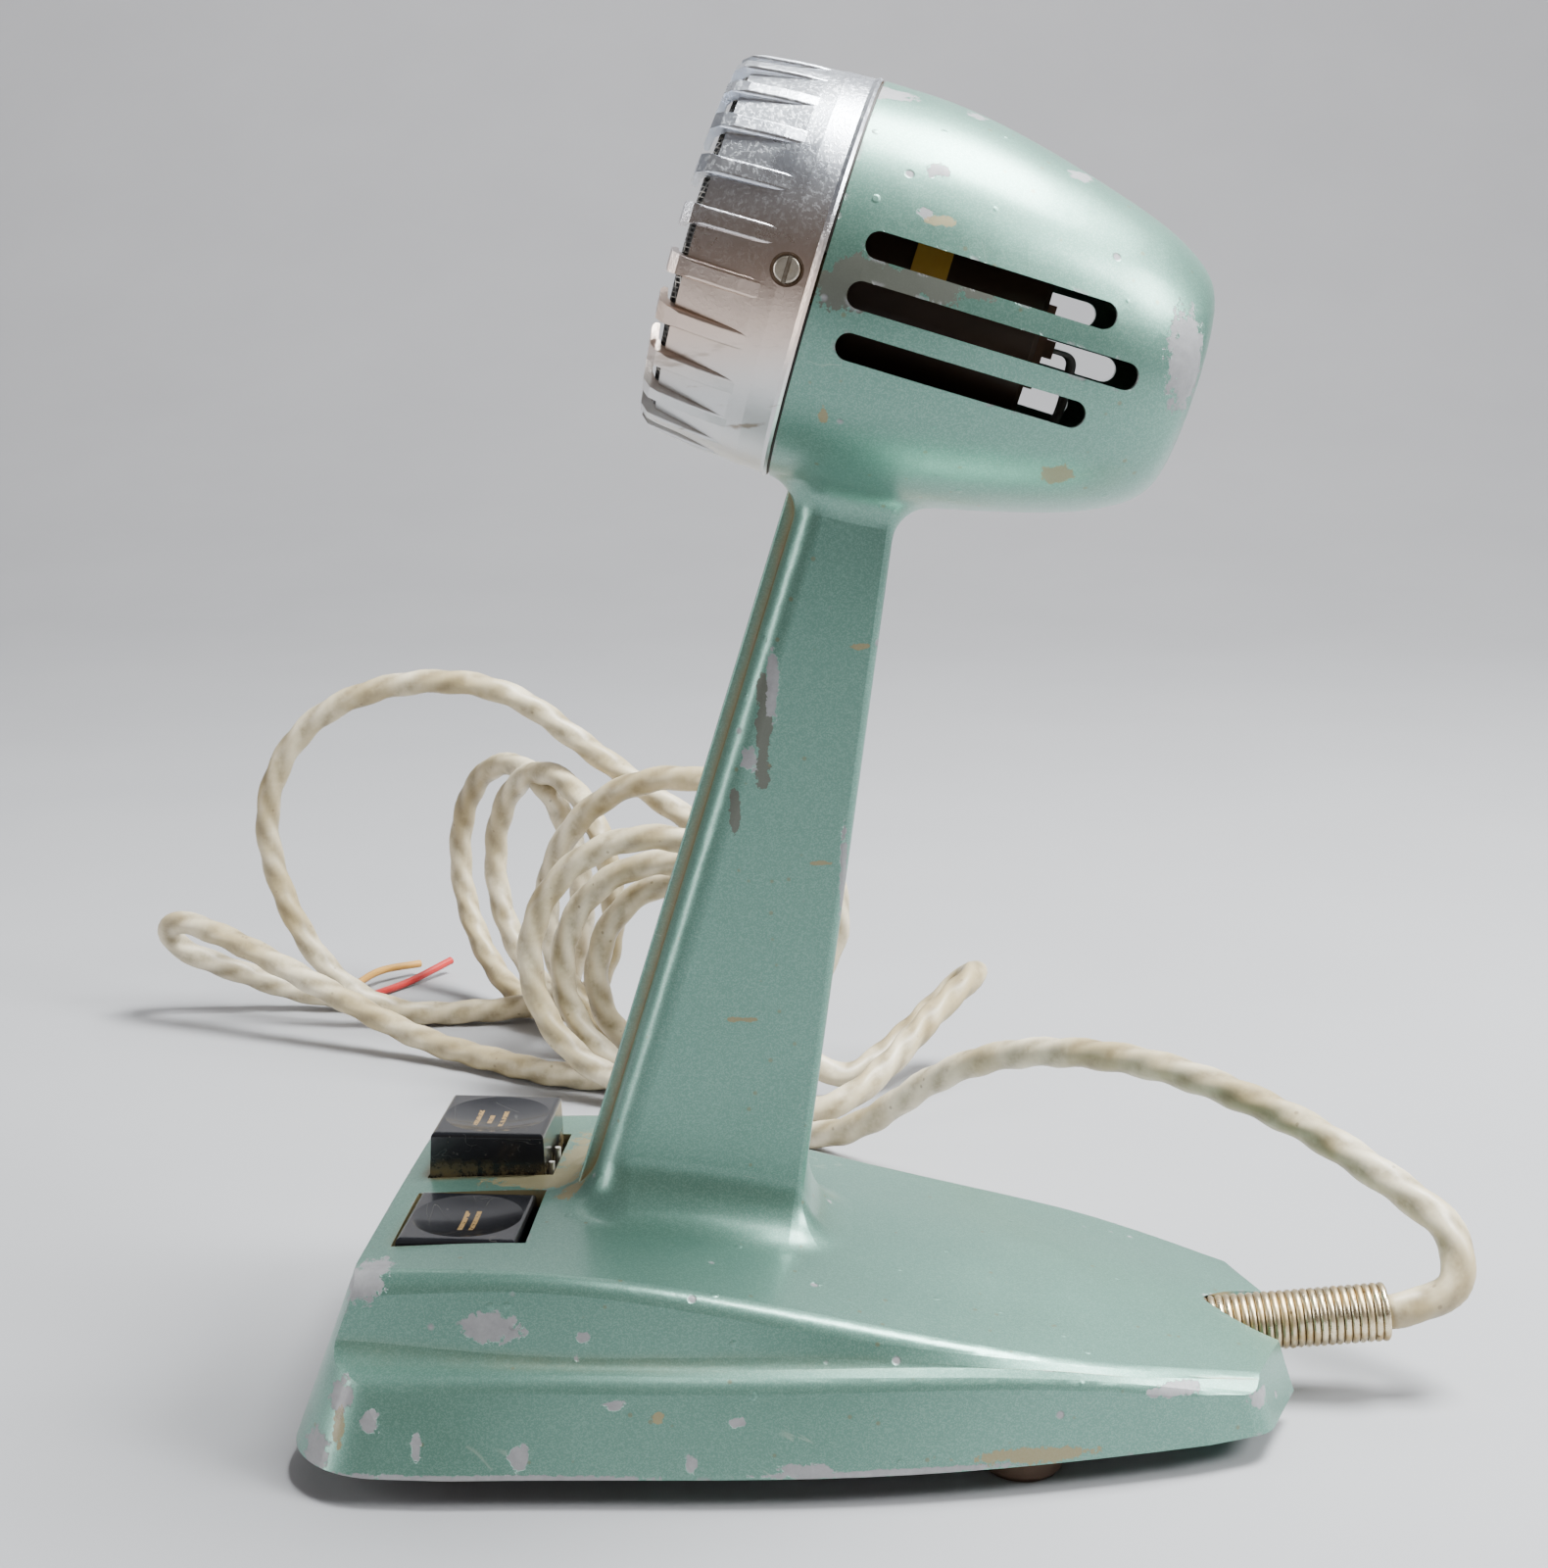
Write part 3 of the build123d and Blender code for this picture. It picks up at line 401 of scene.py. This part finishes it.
# ---------------------------------------------------------------- metals
def head_place(tree):
    """Position with Z along the head's axis and the seam at zero."""
    place = add(tree, "VectorMath", {0: object_place(tree), 1: tuple(SEAM)}, operation="SUBTRACT").outputs[0]
    return add(tree, "VectorRotate", {"Vector": place, "Angle": math.pi / 2 + HEAD_TILT, "Axis": (1, 0, 0)},
               rotation_type="AXIS_ANGLE").outputs[0]


def ring_chrome():
    """Bright plating, milky with fine pits at the top and stained brown lower down; graded by height, with a
    painted bluish reflection at the top and warm patina in the middle.
    """
    material, tree, shader = new_material("ring_chrome", metallic=1.0)
    place = object_place(tree)
    height = add(tree, "SeparateXYZ", {"Vector": place}).outputs["Z"]
    cloud = noise(tree, place, 55, 5, 0.62)
    milky = sums(tree, "MULTIPLY", spread(tree, height, 0.196, 0.226), spread(tree, cloud, 0.30, 0.62))
    pits = spread(tree, noise(tree, place, 1500, 3, 0.6), 0.50, 0.62)
    haze = sums(tree, "MULTIPLY", milky, sums(tree, "ADD", sums(tree, "MULTIPLY", pits, 0.55), 0.35))
    # painted reflection: the top of the ring is tinted bluish; the warm band below it is patina, the lowest
    # band plain grey
    painted_sky_top = spread(tree, height, 0.198, 0.216)
    warm = blend_colour(tree, painted_sky_top, (0.74, 0.59, 0.50, 1), (0.66, 0.70, 0.78, 1))
    cool = blend_colour(tree, spread(tree, height, 0.180, 0.194), (0.66, 0.66, 0.66, 1), warm)
    colour = blend_colour(tree, haze, cool, (0.78, 0.80, 0.83, 1))
    runs = noise(tree, mapped(tree, place, scale=(1, 1, 4)), 90, 4)
    stain = sums(tree, "MULTIPLY", spread(tree, runs, 0.60, 0.70), spread(tree, height, 0.196, 0.180))
    roots = effect(tree, CREVICE, reach=0.0015, amount=0.8)
    rust = layers(tree, [sums(tree, "MULTIPLY", stain, 0.7), roots])
    colour = blend_colour(tree, rust, colour, (0.20, 0.12, 0.05, 1))
    paint(tree, shader, "Base Color", colour)
    satin = blend_value(tree, spread(tree, height, 0.212, 0.188), 0.24, 0.36)
    rough = blend_value(tree, haze, satin, 0.50)
    paint(tree, shader, "Roughness", layers(tree, [rough, sums(tree, "MULTIPLY", rust, 0.6)]))
    ripple = bump(tree, noise(tree, place, 120, 2), 0.05, 0.0006)
    paint(tree, shader, "Normal", bump(tree, pits, 0.12, 0.0002, ripple))
    return material


def worn_steel(name, light, dark, rough=0.35, grime=0.9, metallic=1.0):
    """Plated steel with tarnish, dirt spots and painted shade darkening its crevices to dark brown; used for
    screws, springs and sheet parts.
    """
    material, tree, shader = new_material(name, metallic=metallic)
    place = object_place(tree)
    tarnish = spread(tree, noise(tree, place, 260, 5, 0.65), 0.38, 0.66)
    colour = blend_colour(tree, tarnish, light, dark)
    # painted shade with some grime: the crevice mask darkens corners and the gaps between coils to dark
    # brown; the specks are dirt
    dirt = effect(tree, CREVICE, reach=0.0014, amount=grime)
    spots = effect(tree, SPECKS, scale=700.0, size=0.26, share=0.18)
    corner_shade_and_dirt_spots = layers(tree, [dirt, sums(tree, "MULTIPLY", spots, 0.7)])
    colour = blend_colour(tree, corner_shade_and_dirt_spots, colour, (0.10, 0.055, 0.025, 1))
    paint(tree, shader, "Base Color", colour)
    paint(tree, shader, "Roughness", blend_value(tree, layers(tree, [tarnish, corner_shade_and_dirt_spots]), rough, rough + 0.22))
    paint(tree, shader, "Normal", bump(tree, noise(tree, place, 1300, 3), 0.10, 0.0002))
    return material


def woven_wire():
    """Coarse black wire cloth, worn to bare metal on its crests, with painted shade near black in the
    openings of the weave.
    """
    material, tree, shader = new_material("woven_wire")
    place = mapped(tree, head_place(tree), scale=(3900, 3900, 3900))
    parts = add(tree, "SeparateXYZ", {"Vector": place}).outputs
    across = sums(tree, "ABSOLUTE", sums(tree, "SINE", parts["X"]))
    down = sums(tree, "ABSOLUTE", sums(tree, "SINE", parts["Y"]))
    height = sums(tree, "MAXIMUM", across, down)
    crest = spread(tree, height, 0.90, 1.0)
    # painted shade: the openings between the wires are near black, standing in for the dark inside seen
    # through them
    opening_shade = spread(tree, height, 0.78, 0.62)
    worn = sums(tree, "MULTIPLY", crest, spread(tree, noise(tree, object_place(tree), 260, 3), 0.42, 0.60))
    colour = blend_colour(tree, worn, (0.045, 0.043, 0.04, 1), (0.50, 0.48, 0.44, 1))
    paint(tree, shader, "Base Color", blend_colour(tree, opening_shade, colour, (0.004, 0.004, 0.004, 1)))
    paint(tree, shader, "Metallic", sums(tree, "MULTIPLY", worn, 0.9))
    paint(tree, shader, "Roughness", blend_value(tree, worn, 0.55, 0.32))
    paint(tree, shader, "Normal", bump(tree, height, 0.9, 0.0006))
    return material


# ---------------------------------------------------------------- plastics, rubber, felt
def button_black(marks):
    """Glossy black moulding with finger scratches, dust in its dish and gold stamped marks."""
    material, tree, shader = new_material("button_black_" + marks[0], specular_ior_level=0.5, coat_weight=0.3,
                                          coat_roughness=0.08)
    place = object_place(tree)
    cloud = noise(tree, place, 120, 4)
    colour = blend_colour(tree, cloud, (0.006, 0.007, 0.010, 1), (0.016, 0.017, 0.021, 1))
    lines = layers(tree, [effect(tree, SCRATCHES, place=mapped(tree, place, turn=(0, 0, angle)), scale=150.0,
                                 width=0.004, share=0.56) for angle in (0.4, 1.3, 2.3)])
    dust = effect(tree, SPECKS, scale=900.0, size=0.22, share=0.12)
    colour = blend_colour(tree, sums(tree, "MULTIPLY", layers(tree, [lines, dust]), 0.14), colour,
                          (0.35, 0.33, 0.28, 1))
    low = add(tree, "SeparateXYZ", {"Vector": place}).outputs["Z"]
    floor = marks[1] - 6.5
    soot = sums(tree, "MULTIPLY", spread(tree, low, (floor + 2.2) * MM, (floor - 1.2) * MM),
                spread(tree, noise(tree, place, 330, 4, 0.7), 0.42, 0.62))
    colour = blend_colour(tree, sums(tree, "MULTIPLY", soot, 0.8), colour, (0.14, 0.10, 0.035, 1))
    worn_away = spread(tree, noise(tree, place, 900, 3, 0.7), 0.36, 0.46)
    gold = sums(tree, "MULTIPLY", stamped_bars(tree, place, *marks[2:]), worn_away)
    gold = sums(tree, "MULTIPLY", gold, spread(tree, low, (marks[1] - 1.9) * MM, (marks[1] - 1.6) * MM))
    colour = blend_colour(tree, gold, colour, (0.62, 0.40, 0.16, 1))
    paint(tree, shader, "Base Color", colour)
    paint(tree, shader, "Metallic", sums(tree, "MULTIPLY", gold, 0.7))
    rough = blend_value(tree, cloud, 0.14, 0.30)
    paint(tree, shader, "Roughness", layers(tree, [rough, sums(tree, "MULTIPLY", soot, 0.7),
                                                   sums(tree, "MULTIPLY", gold, 0.4)]))
    paint(tree, shader, "Normal", bump(tree, lines, 0.25, 0.0001))
    return material


SOFT_RIM = 0.1                     # millimetres over which a stamped mark fades out
# y, half length and half width of each mark
TALK_BARS = ((-74.2, 4.2, 0.45), (-71.8, 2.2, 0.45), (-69.4, 4.2, 0.45))
LOCK_BARS = ((-71.2, 4.4, 0.45), (-69.2, 4.4, 0.45))


def stamped_bars(tree, place, x, bars):
    """Short bars across the button, each given as (y, half length, half width) in millimetres."""
    parts = add(tree, "SeparateXYZ", {"Vector": place}).outputs
    masks = []
    for y, half_length, half_width in bars:
        off_x = sums(tree, "ABSOLUTE", sums(tree, "SUBTRACT", parts["X"], x * MM))
        off_y = sums(tree, "ABSOLUTE", sums(tree, "SUBTRACT", parts["Y"], y * MM))
        along = spread(tree, off_x, (half_length + SOFT_RIM) * MM, (half_length - SOFT_RIM) * MM)
        over = spread(tree, off_y, (half_width + SOFT_RIM) * MM, (half_width - SOFT_RIM) * MM)
        masks.append(sums(tree, "MULTIPLY", along, over))
    return layers(tree, masks)


def moulded(name, light, dark, rough, scale=300.0, depth=0.08, metallic=0.0):
    """Plain moulding, rubber, felt or laminate with a cloudy colour, painted shade darker brown where
    surfaces meet, and a fine skin.
    """
    material, tree, shader = new_material(name, metallic=metallic)
    place = object_place(tree)
    cloud = noise(tree, place, 90, 5, 0.6)
    # painted shade: the crevice mask darkens these parts to dark brown where surfaces meet
    dirt = effect(tree, CREVICE, reach=0.002, amount=0.7)
    colour = blend_colour(tree, sums(tree, "MULTIPLY", dirt, 0.6), blend_colour(tree, cloud, dark, light),
                          (0.05, 0.035, 0.02, 1))
    paint(tree, shader, "Base Color", colour)
    paint(tree, shader, "Roughness", blend_value(tree, cloud, rough - 0.06, rough + 0.08))
    paint(tree, shader, "Normal", bump(tree, noise(tree, place, scale * 4, 3, 0.6), depth, 0.0003))
    return material


def ivory_vinyl():
    """Yellowed cable jacket with painted shade and brown dirt in the hollows between its twisted cores."""
    material, tree, shader = new_material("ivory_vinyl", coat_weight=0.12, coat_roughness=0.3)
    place = object_place(tree)
    cloud = noise(tree, place, 38, 4, 0.6)
    patchy = spread(tree, cloud, 0.35, 0.65)
    colour = blend_colour(tree, patchy, (0.44, 0.355, 0.20, 1), (0.75, 0.665, 0.49, 1))
    hollow = add(tree, "Attribute", attribute_name="hollow").outputs["Fac"]
    dirt = spread(tree, noise(tree, place, 110, 4, 0.65), 0.30, 0.62)
    # painted shade and dirt: the hollows between the cores are darkened to brown, broken up by noise
    hollow_shade_and_dirt = sums(tree, "MULTIPLY", hollow, dirt)
    colour = blend_colour(tree, sums(tree, "MULTIPLY", hollow_shade_and_dirt, 0.75), colour, (0.17, 0.125, 0.055, 1))
    spots = effect(tree, SPECKS, scale=420.0, size=0.22, share=0.10)
    colour = blend_colour(tree, sums(tree, "MULTIPLY", spots, 0.55), colour, (0.16, 0.11, 0.06, 1))
    paint(tree, shader, "Base Color", colour)
    paint(tree, shader, "Roughness", blend_value(tree, cloud, 0.50, 0.38))
    paint(tree, shader, "Normal", bump(tree, noise(tree, place, 700, 3), 0.10, 0.0003))
    return material


# ---------------------------------------------------------------- cable
ARCH = [(0, 95.3, 16.1), (0, 107.2, 17.5), (-5.5, 109.6, 28.6), (-17, 98, 35), (-38, 81, 41), (-68, 52, 43),
        (-98, 20, 32), (-116, -8, LOW), (-132, -28, LOW), (-143, -50, LOW)]
FOLD = [(-155, -8, 5), (-170.5, 6.2, 12.9), (-185.8, 15.2, 18), (-186, 22.7, 25.3), (-176.8, 25.3, 29),
        (-161, 13.5, 22), (-144, 2.5, 13.5), (-133, -9, 6.5), (-136, -25, LOW)]
BIG_LOOP = [(-216, -114, LOW), (-212, -134, LOW), (-211, -152, 13), (-213, -166, 36), (-214, -171, 62),
            (-213, -158, 86), (-210, -131, 98), (-208, -101, 97), (-207, -78, 79)]
LOW_LOOP = [(-160, -78, LOW), (-172, -98, LOW), (-184, -122, 5), (-195, -152, 16.5), (-206, -180, 27),
            (-212, -196, 30), (-218.2, -200.7, 23.7), (-222.5, -196, 17), (-225, -180, 10.5),
            (-227, -165, 4.6), (-226, -150, LOW)]
# centre x, centre y, radius and yaw of each half turn of the coil
FIRST_TURNS = [(-150, -55, 34, 10), (-152, -50, 32, 10), (-158, -53, 29, 12), (-158, -49, 29, 12)]
MIDDLE_TURNS = [(-176, -54, 37.5, 20), (-172, -46, 39, 12), (-207, -88, 35, 50), (-212, -92, 35, 50),
                (-226, -102, 34.5, 50), (-226, -102, 34.5, 50)]
LAST_TURNS = [(-190, -60, 36, 20), (-184, -52, 34, 15), (-163, -47, 26, 10), (-163, -47, 26, 10)]
POINTS_A_TURN = 14


def standing_turns(shapes, start, end):
    """Turns that stand on the table; shapes are (x, y, radius, yaw), one for each side of each turn."""
    points = []
    steps = round((end - start) * POINTS_A_TURN)
    for i in range(steps + 1):
        t = start + (end - start) * i / steps
        at = min(max(2 * t - 0.5, 0.0), len(shapes) - 1.0)
        low = min(int(at), len(shapes) - 2)
        share = at - low
        x, y, radius, yaw = (a + (b - a) * share for a, b in zip(shapes[low], shapes[low + 1]))
        angle = math.radians(-90 + 360 * t)
        side = Vector((-math.sin(math.radians(yaw)), -math.cos(math.radians(yaw)), 0))
        centre = Vector((x, y, radius + LOW))
        points.append(centre + radius * (math.cos(angle) * side + math.sin(angle) * Vector((0, 0, 1))))
    return points


def cable_route():
    """Control points of the whole cable, in millimetres, from the spring to the bare end."""
    route = [Vector(p) for p in ARCH]
    route += standing_turns(FIRST_TURNS, 0.08, 1.80)
    route += [Vector((-159, -19, 11))] + [Vector(p) for p in FOLD]
    route += standing_turns(MIDDLE_TURNS, 0.06, 2.95)
    route += [Vector(p) for p in BIG_LOOP]
    route += standing_turns(LAST_TURNS, 0.70, 2.0)
    route += [Vector(p) for p in LOW_LOOP]
    return route


def smooth_line(points):
    """Points along the smooth curve that the control points give, in metres, read from a curve object that is
    then removed.
    """
    data = bpy.data.curves.new("cable_line", "CURVE")
    data.dimensions = "3D"
    spline = data.splines.new("NURBS")
    spline.points.add(len(points) - 1)
    for target, point in zip(spline.points, points):
        target.co = (*(point * MM), 1)
    spline.order_u = 3
    spline.use_endpoint_u = True
    spline.resolution_u = 8
    curve = bpy.data.objects.new("cable_line", data)
    bpy.context.collection.objects.link(curve)
    mesh = bpy.data.meshes.new_from_object(curve)
    line = [v.co.copy() for v in mesh.vertices]
    bpy.data.meshes.remove(mesh)
    bpy.data.objects.remove(curve)
    return line


def even_line(line, step):
    """The same line with points an even distance apart."""
    out = [line[0]]
    left = step
    for a, b in zip(line, line[1:]):
        run = (b - a).length
        while left <= run:
            out.append(a.lerp(b, left / run))
            left += step
        left -= run
    out.append(line[-1])
    return out


LOBES = 3
LOBE_DEPTH = 0.075                 # of the cable's radius
LAY_LENGTH = 0.034                 # one full twist of the cores
SIDES = 21


def twisted_cable(line):
    """Tube whose jacket shows the twist of the cores under it; an attribute marks the hollows."""
    radius = CABLE_D / 2 * MM
    count = len(line)
    tangents = [(line[min(i + 1, count - 1)] - line[max(i - 1, 0)]).normalized() for i in range(count)]
    normal = tangents[0].orthogonal().normalized()
    verts, hollow = [], []
    travelled = 0.0
    for i, (point, tangent) in enumerate(zip(line, tangents)):
        normal = (normal - tangent * normal.dot(tangent)).normalized()
        side = tangent.cross(normal)
        travelled += (point - line[i - 1]).length if i else 0.0
        twist = 2 * math.pi * travelled / LAY_LENGTH
        for k in range(SIDES):
            angle = 2 * math.pi * k / SIDES
            lobe = math.cos(LOBES * (angle + twist))
            reach = radius * (1 + LOBE_DEPTH * (lobe - 1))
            verts.append(point + reach * (math.cos(angle) * normal + math.sin(angle) * side))
            hollow.append(0.5 - 0.5 * lobe)
    faces = []
    for i in range(count - 1):
        for k in range(SIDES):
            a, b = i * SIDES + k, i * SIDES + (k + 1) % SIDES
            faces.append((a, b, b + SIDES, a + SIDES))
    faces.append(tuple(range(SIDES - 1, -1, -1)))
    faces.append(tuple((count - 1) * SIDES + k for k in range(SIDES)))
    mesh = bpy.data.meshes.new("cable")
    mesh.from_pydata(verts, [], faces)
    mesh.attributes.new("hollow", "FLOAT", "POINT").data.foreach_set("value", hollow)
    for face in mesh.polygons:
        face.use_smooth = True
    cable = bpy.data.objects.new("cable", mesh)
    bpy.context.collection.objects.link(cable)
    return cable


def add_cable(vinyl):
    line = even_line(smooth_line(cable_route()), 0.0013)
    length = sum((b - a).length for a, b in zip(line, line[1:]))
    cable = twisted_cable(line)
    cable.data.materials.append(vinyl)
    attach(cable, "stand")
    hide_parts("cable_arch", "cable_fold", "cable_bundle", "cable_big_loop", "cable_low_loop")
    print("cable length", round(length, 3))


# ---------------------------------------------------------------- finishes of the parts
def finish_parts():
    steel = worn_steel("tarnished_screw", (0.60, 0.56, 0.48, 1), (0.36, 0.31, 0.24, 1))
    sheet = worn_steel("zinc_sheet", (0.55, 0.56, 0.56, 1), (0.38, 0.38, 0.37, 1), 0.4)
    wire = worn_steel("spring_wire", (0.58, 0.58, 0.57, 1), (0.40, 0.39, 0.37, 1), 0.28)
    brass = worn_steel("contact_brass", (0.72, 0.53, 0.24, 1), (0.46, 0.32, 0.14, 1), 0.3)
    copper = worn_steel("copper_wire", (0.60, 0.27, 0.13, 1), (0.42, 0.17, 0.08, 1), 0.3)
    iron = worn_steel("soft_iron", (0.34, 0.34, 0.35, 1), (0.22, 0.21, 0.20, 1), 0.45)
    relief = worn_steel("nickel_spring", (0.80, 0.69, 0.48, 1), (0.56, 0.42, 0.22, 1), 0.26, 1.1)
    green = enamel()
    finishes = {
        green: ("cast_body", "stem_strip"),
        ring_chrome(): ("grille_ring",),
        woven_wire(): ("mesh_cup",),
        steel: ("ring_screws", "base_screws"),
        sheet: ("base_plate", "switch_frame", "stack_bracket", "cable_clamp"),
        wire: ("lock_spring", "lever_pin"),
        brass: ("talk_lever", "lock_lever", "contact_stacks"),
        copper: ("voice_coil", "transformer_winding"),
        iron: ("pole_piece", "magnet", "magnet_yoke", "transformer_core"),
        relief: ("strain_spring",),
        button_black(("talk", TALK_TOP_Z, -BUTTON_X, TALK_BARS)): ("talk_button",),
        button_black(("lock", LOCK_TOP_Z, BUTTON_X, LOCK_BARS)): ("lock_button",),
        moulded("brown_rubber", (0.13, 0.075, 0.045, 1), (0.07, 0.04, 0.025, 1), 0.75): ("feet",),
        moulded("black_rubber", (0.03, 0.03, 0.03, 1), (0.015, 0.015, 0.015, 1), 0.6):
            ("ring_gasket", "shock_ring"),
        moulded("black_felt", (0.03, 0.03, 0.03, 1), (0.012, 0.012, 0.012, 1), 0.9, 600, 0.5): ("wind_felt",),
        moulded("cartridge_brown", (0.055, 0.028, 0.014, 1), (0.020, 0.011, 0.007, 1), 0.38):
            ("cartridge_case",),
        moulded("amber_tape", (0.60, 0.36, 0.06, 1), (0.42, 0.22, 0.03, 1), 0.35): ("cartridge_tape",),
        moulded("laminate", (0.20, 0.10, 0.045, 1), (0.13, 0.06, 0.03, 1), 0.5): ("terminal_board",),
        moulded("formed_film", (0.40, 0.30, 0.15, 1), (0.30, 0.22, 0.11, 1), 0.35): ("diaphragm",),
        moulded("white_nylon", (0.78, 0.77, 0.72, 1), (0.66, 0.64, 0.57, 1), 0.4): ("guide_pins",),
        moulded("grey_lead", (0.55, 0.55, 0.53, 1), (0.30, 0.30, 0.29, 1), 0.45):
            ("head_leads", "stem_leads", "base_leads"),
        moulded("red_lead", (0.55, 0.030, 0.025, 1), (0.40, 0.018, 0.018, 1), 0.4): ("lead_red",),
        moulded("amber_lead", (0.66, 0.36, 0.08, 1), (0.50, 0.25, 0.05, 1), 0.4): ("lead_amber",),
    }
    for material, names in finishes.items():
        for name in names:
            mesh = NODES[name].data
            mesh.materials.clear()
            mesh.materials.append(material)
    add_talk_spring(wire)
    vinyl = ivory_vinyl()
    inner = NODES["cable_inner"].data
    inner.materials.clear()
    inner.materials.append(vinyl)
    return vinyl


def add_talk_spring(wire):
    """The talk button's return spring, copied with its own mesh, in spring wire and fixed to the stand."""
    source = NODES["talk_spring"]
    spring = source.copy()
    spring.data = source.data.copy()
    spring.name = "talk_spring_coil"
    for key in list(spring.keys()):
        del spring[key]
    bpy.context.collection.objects.link(spring)
    place = source.matrix_world.copy()
    spring.parent = None
    spring.data.transform(place)
    spring.matrix_world = Matrix.Identity(4)
    spring.data.materials.clear()
    spring.data.materials.append(wire)
    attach(spring, "stand")
    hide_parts("talk_spring")
    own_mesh(spring)


add_camera()
light_studio()
add_table()
add_cable(finish_parts())
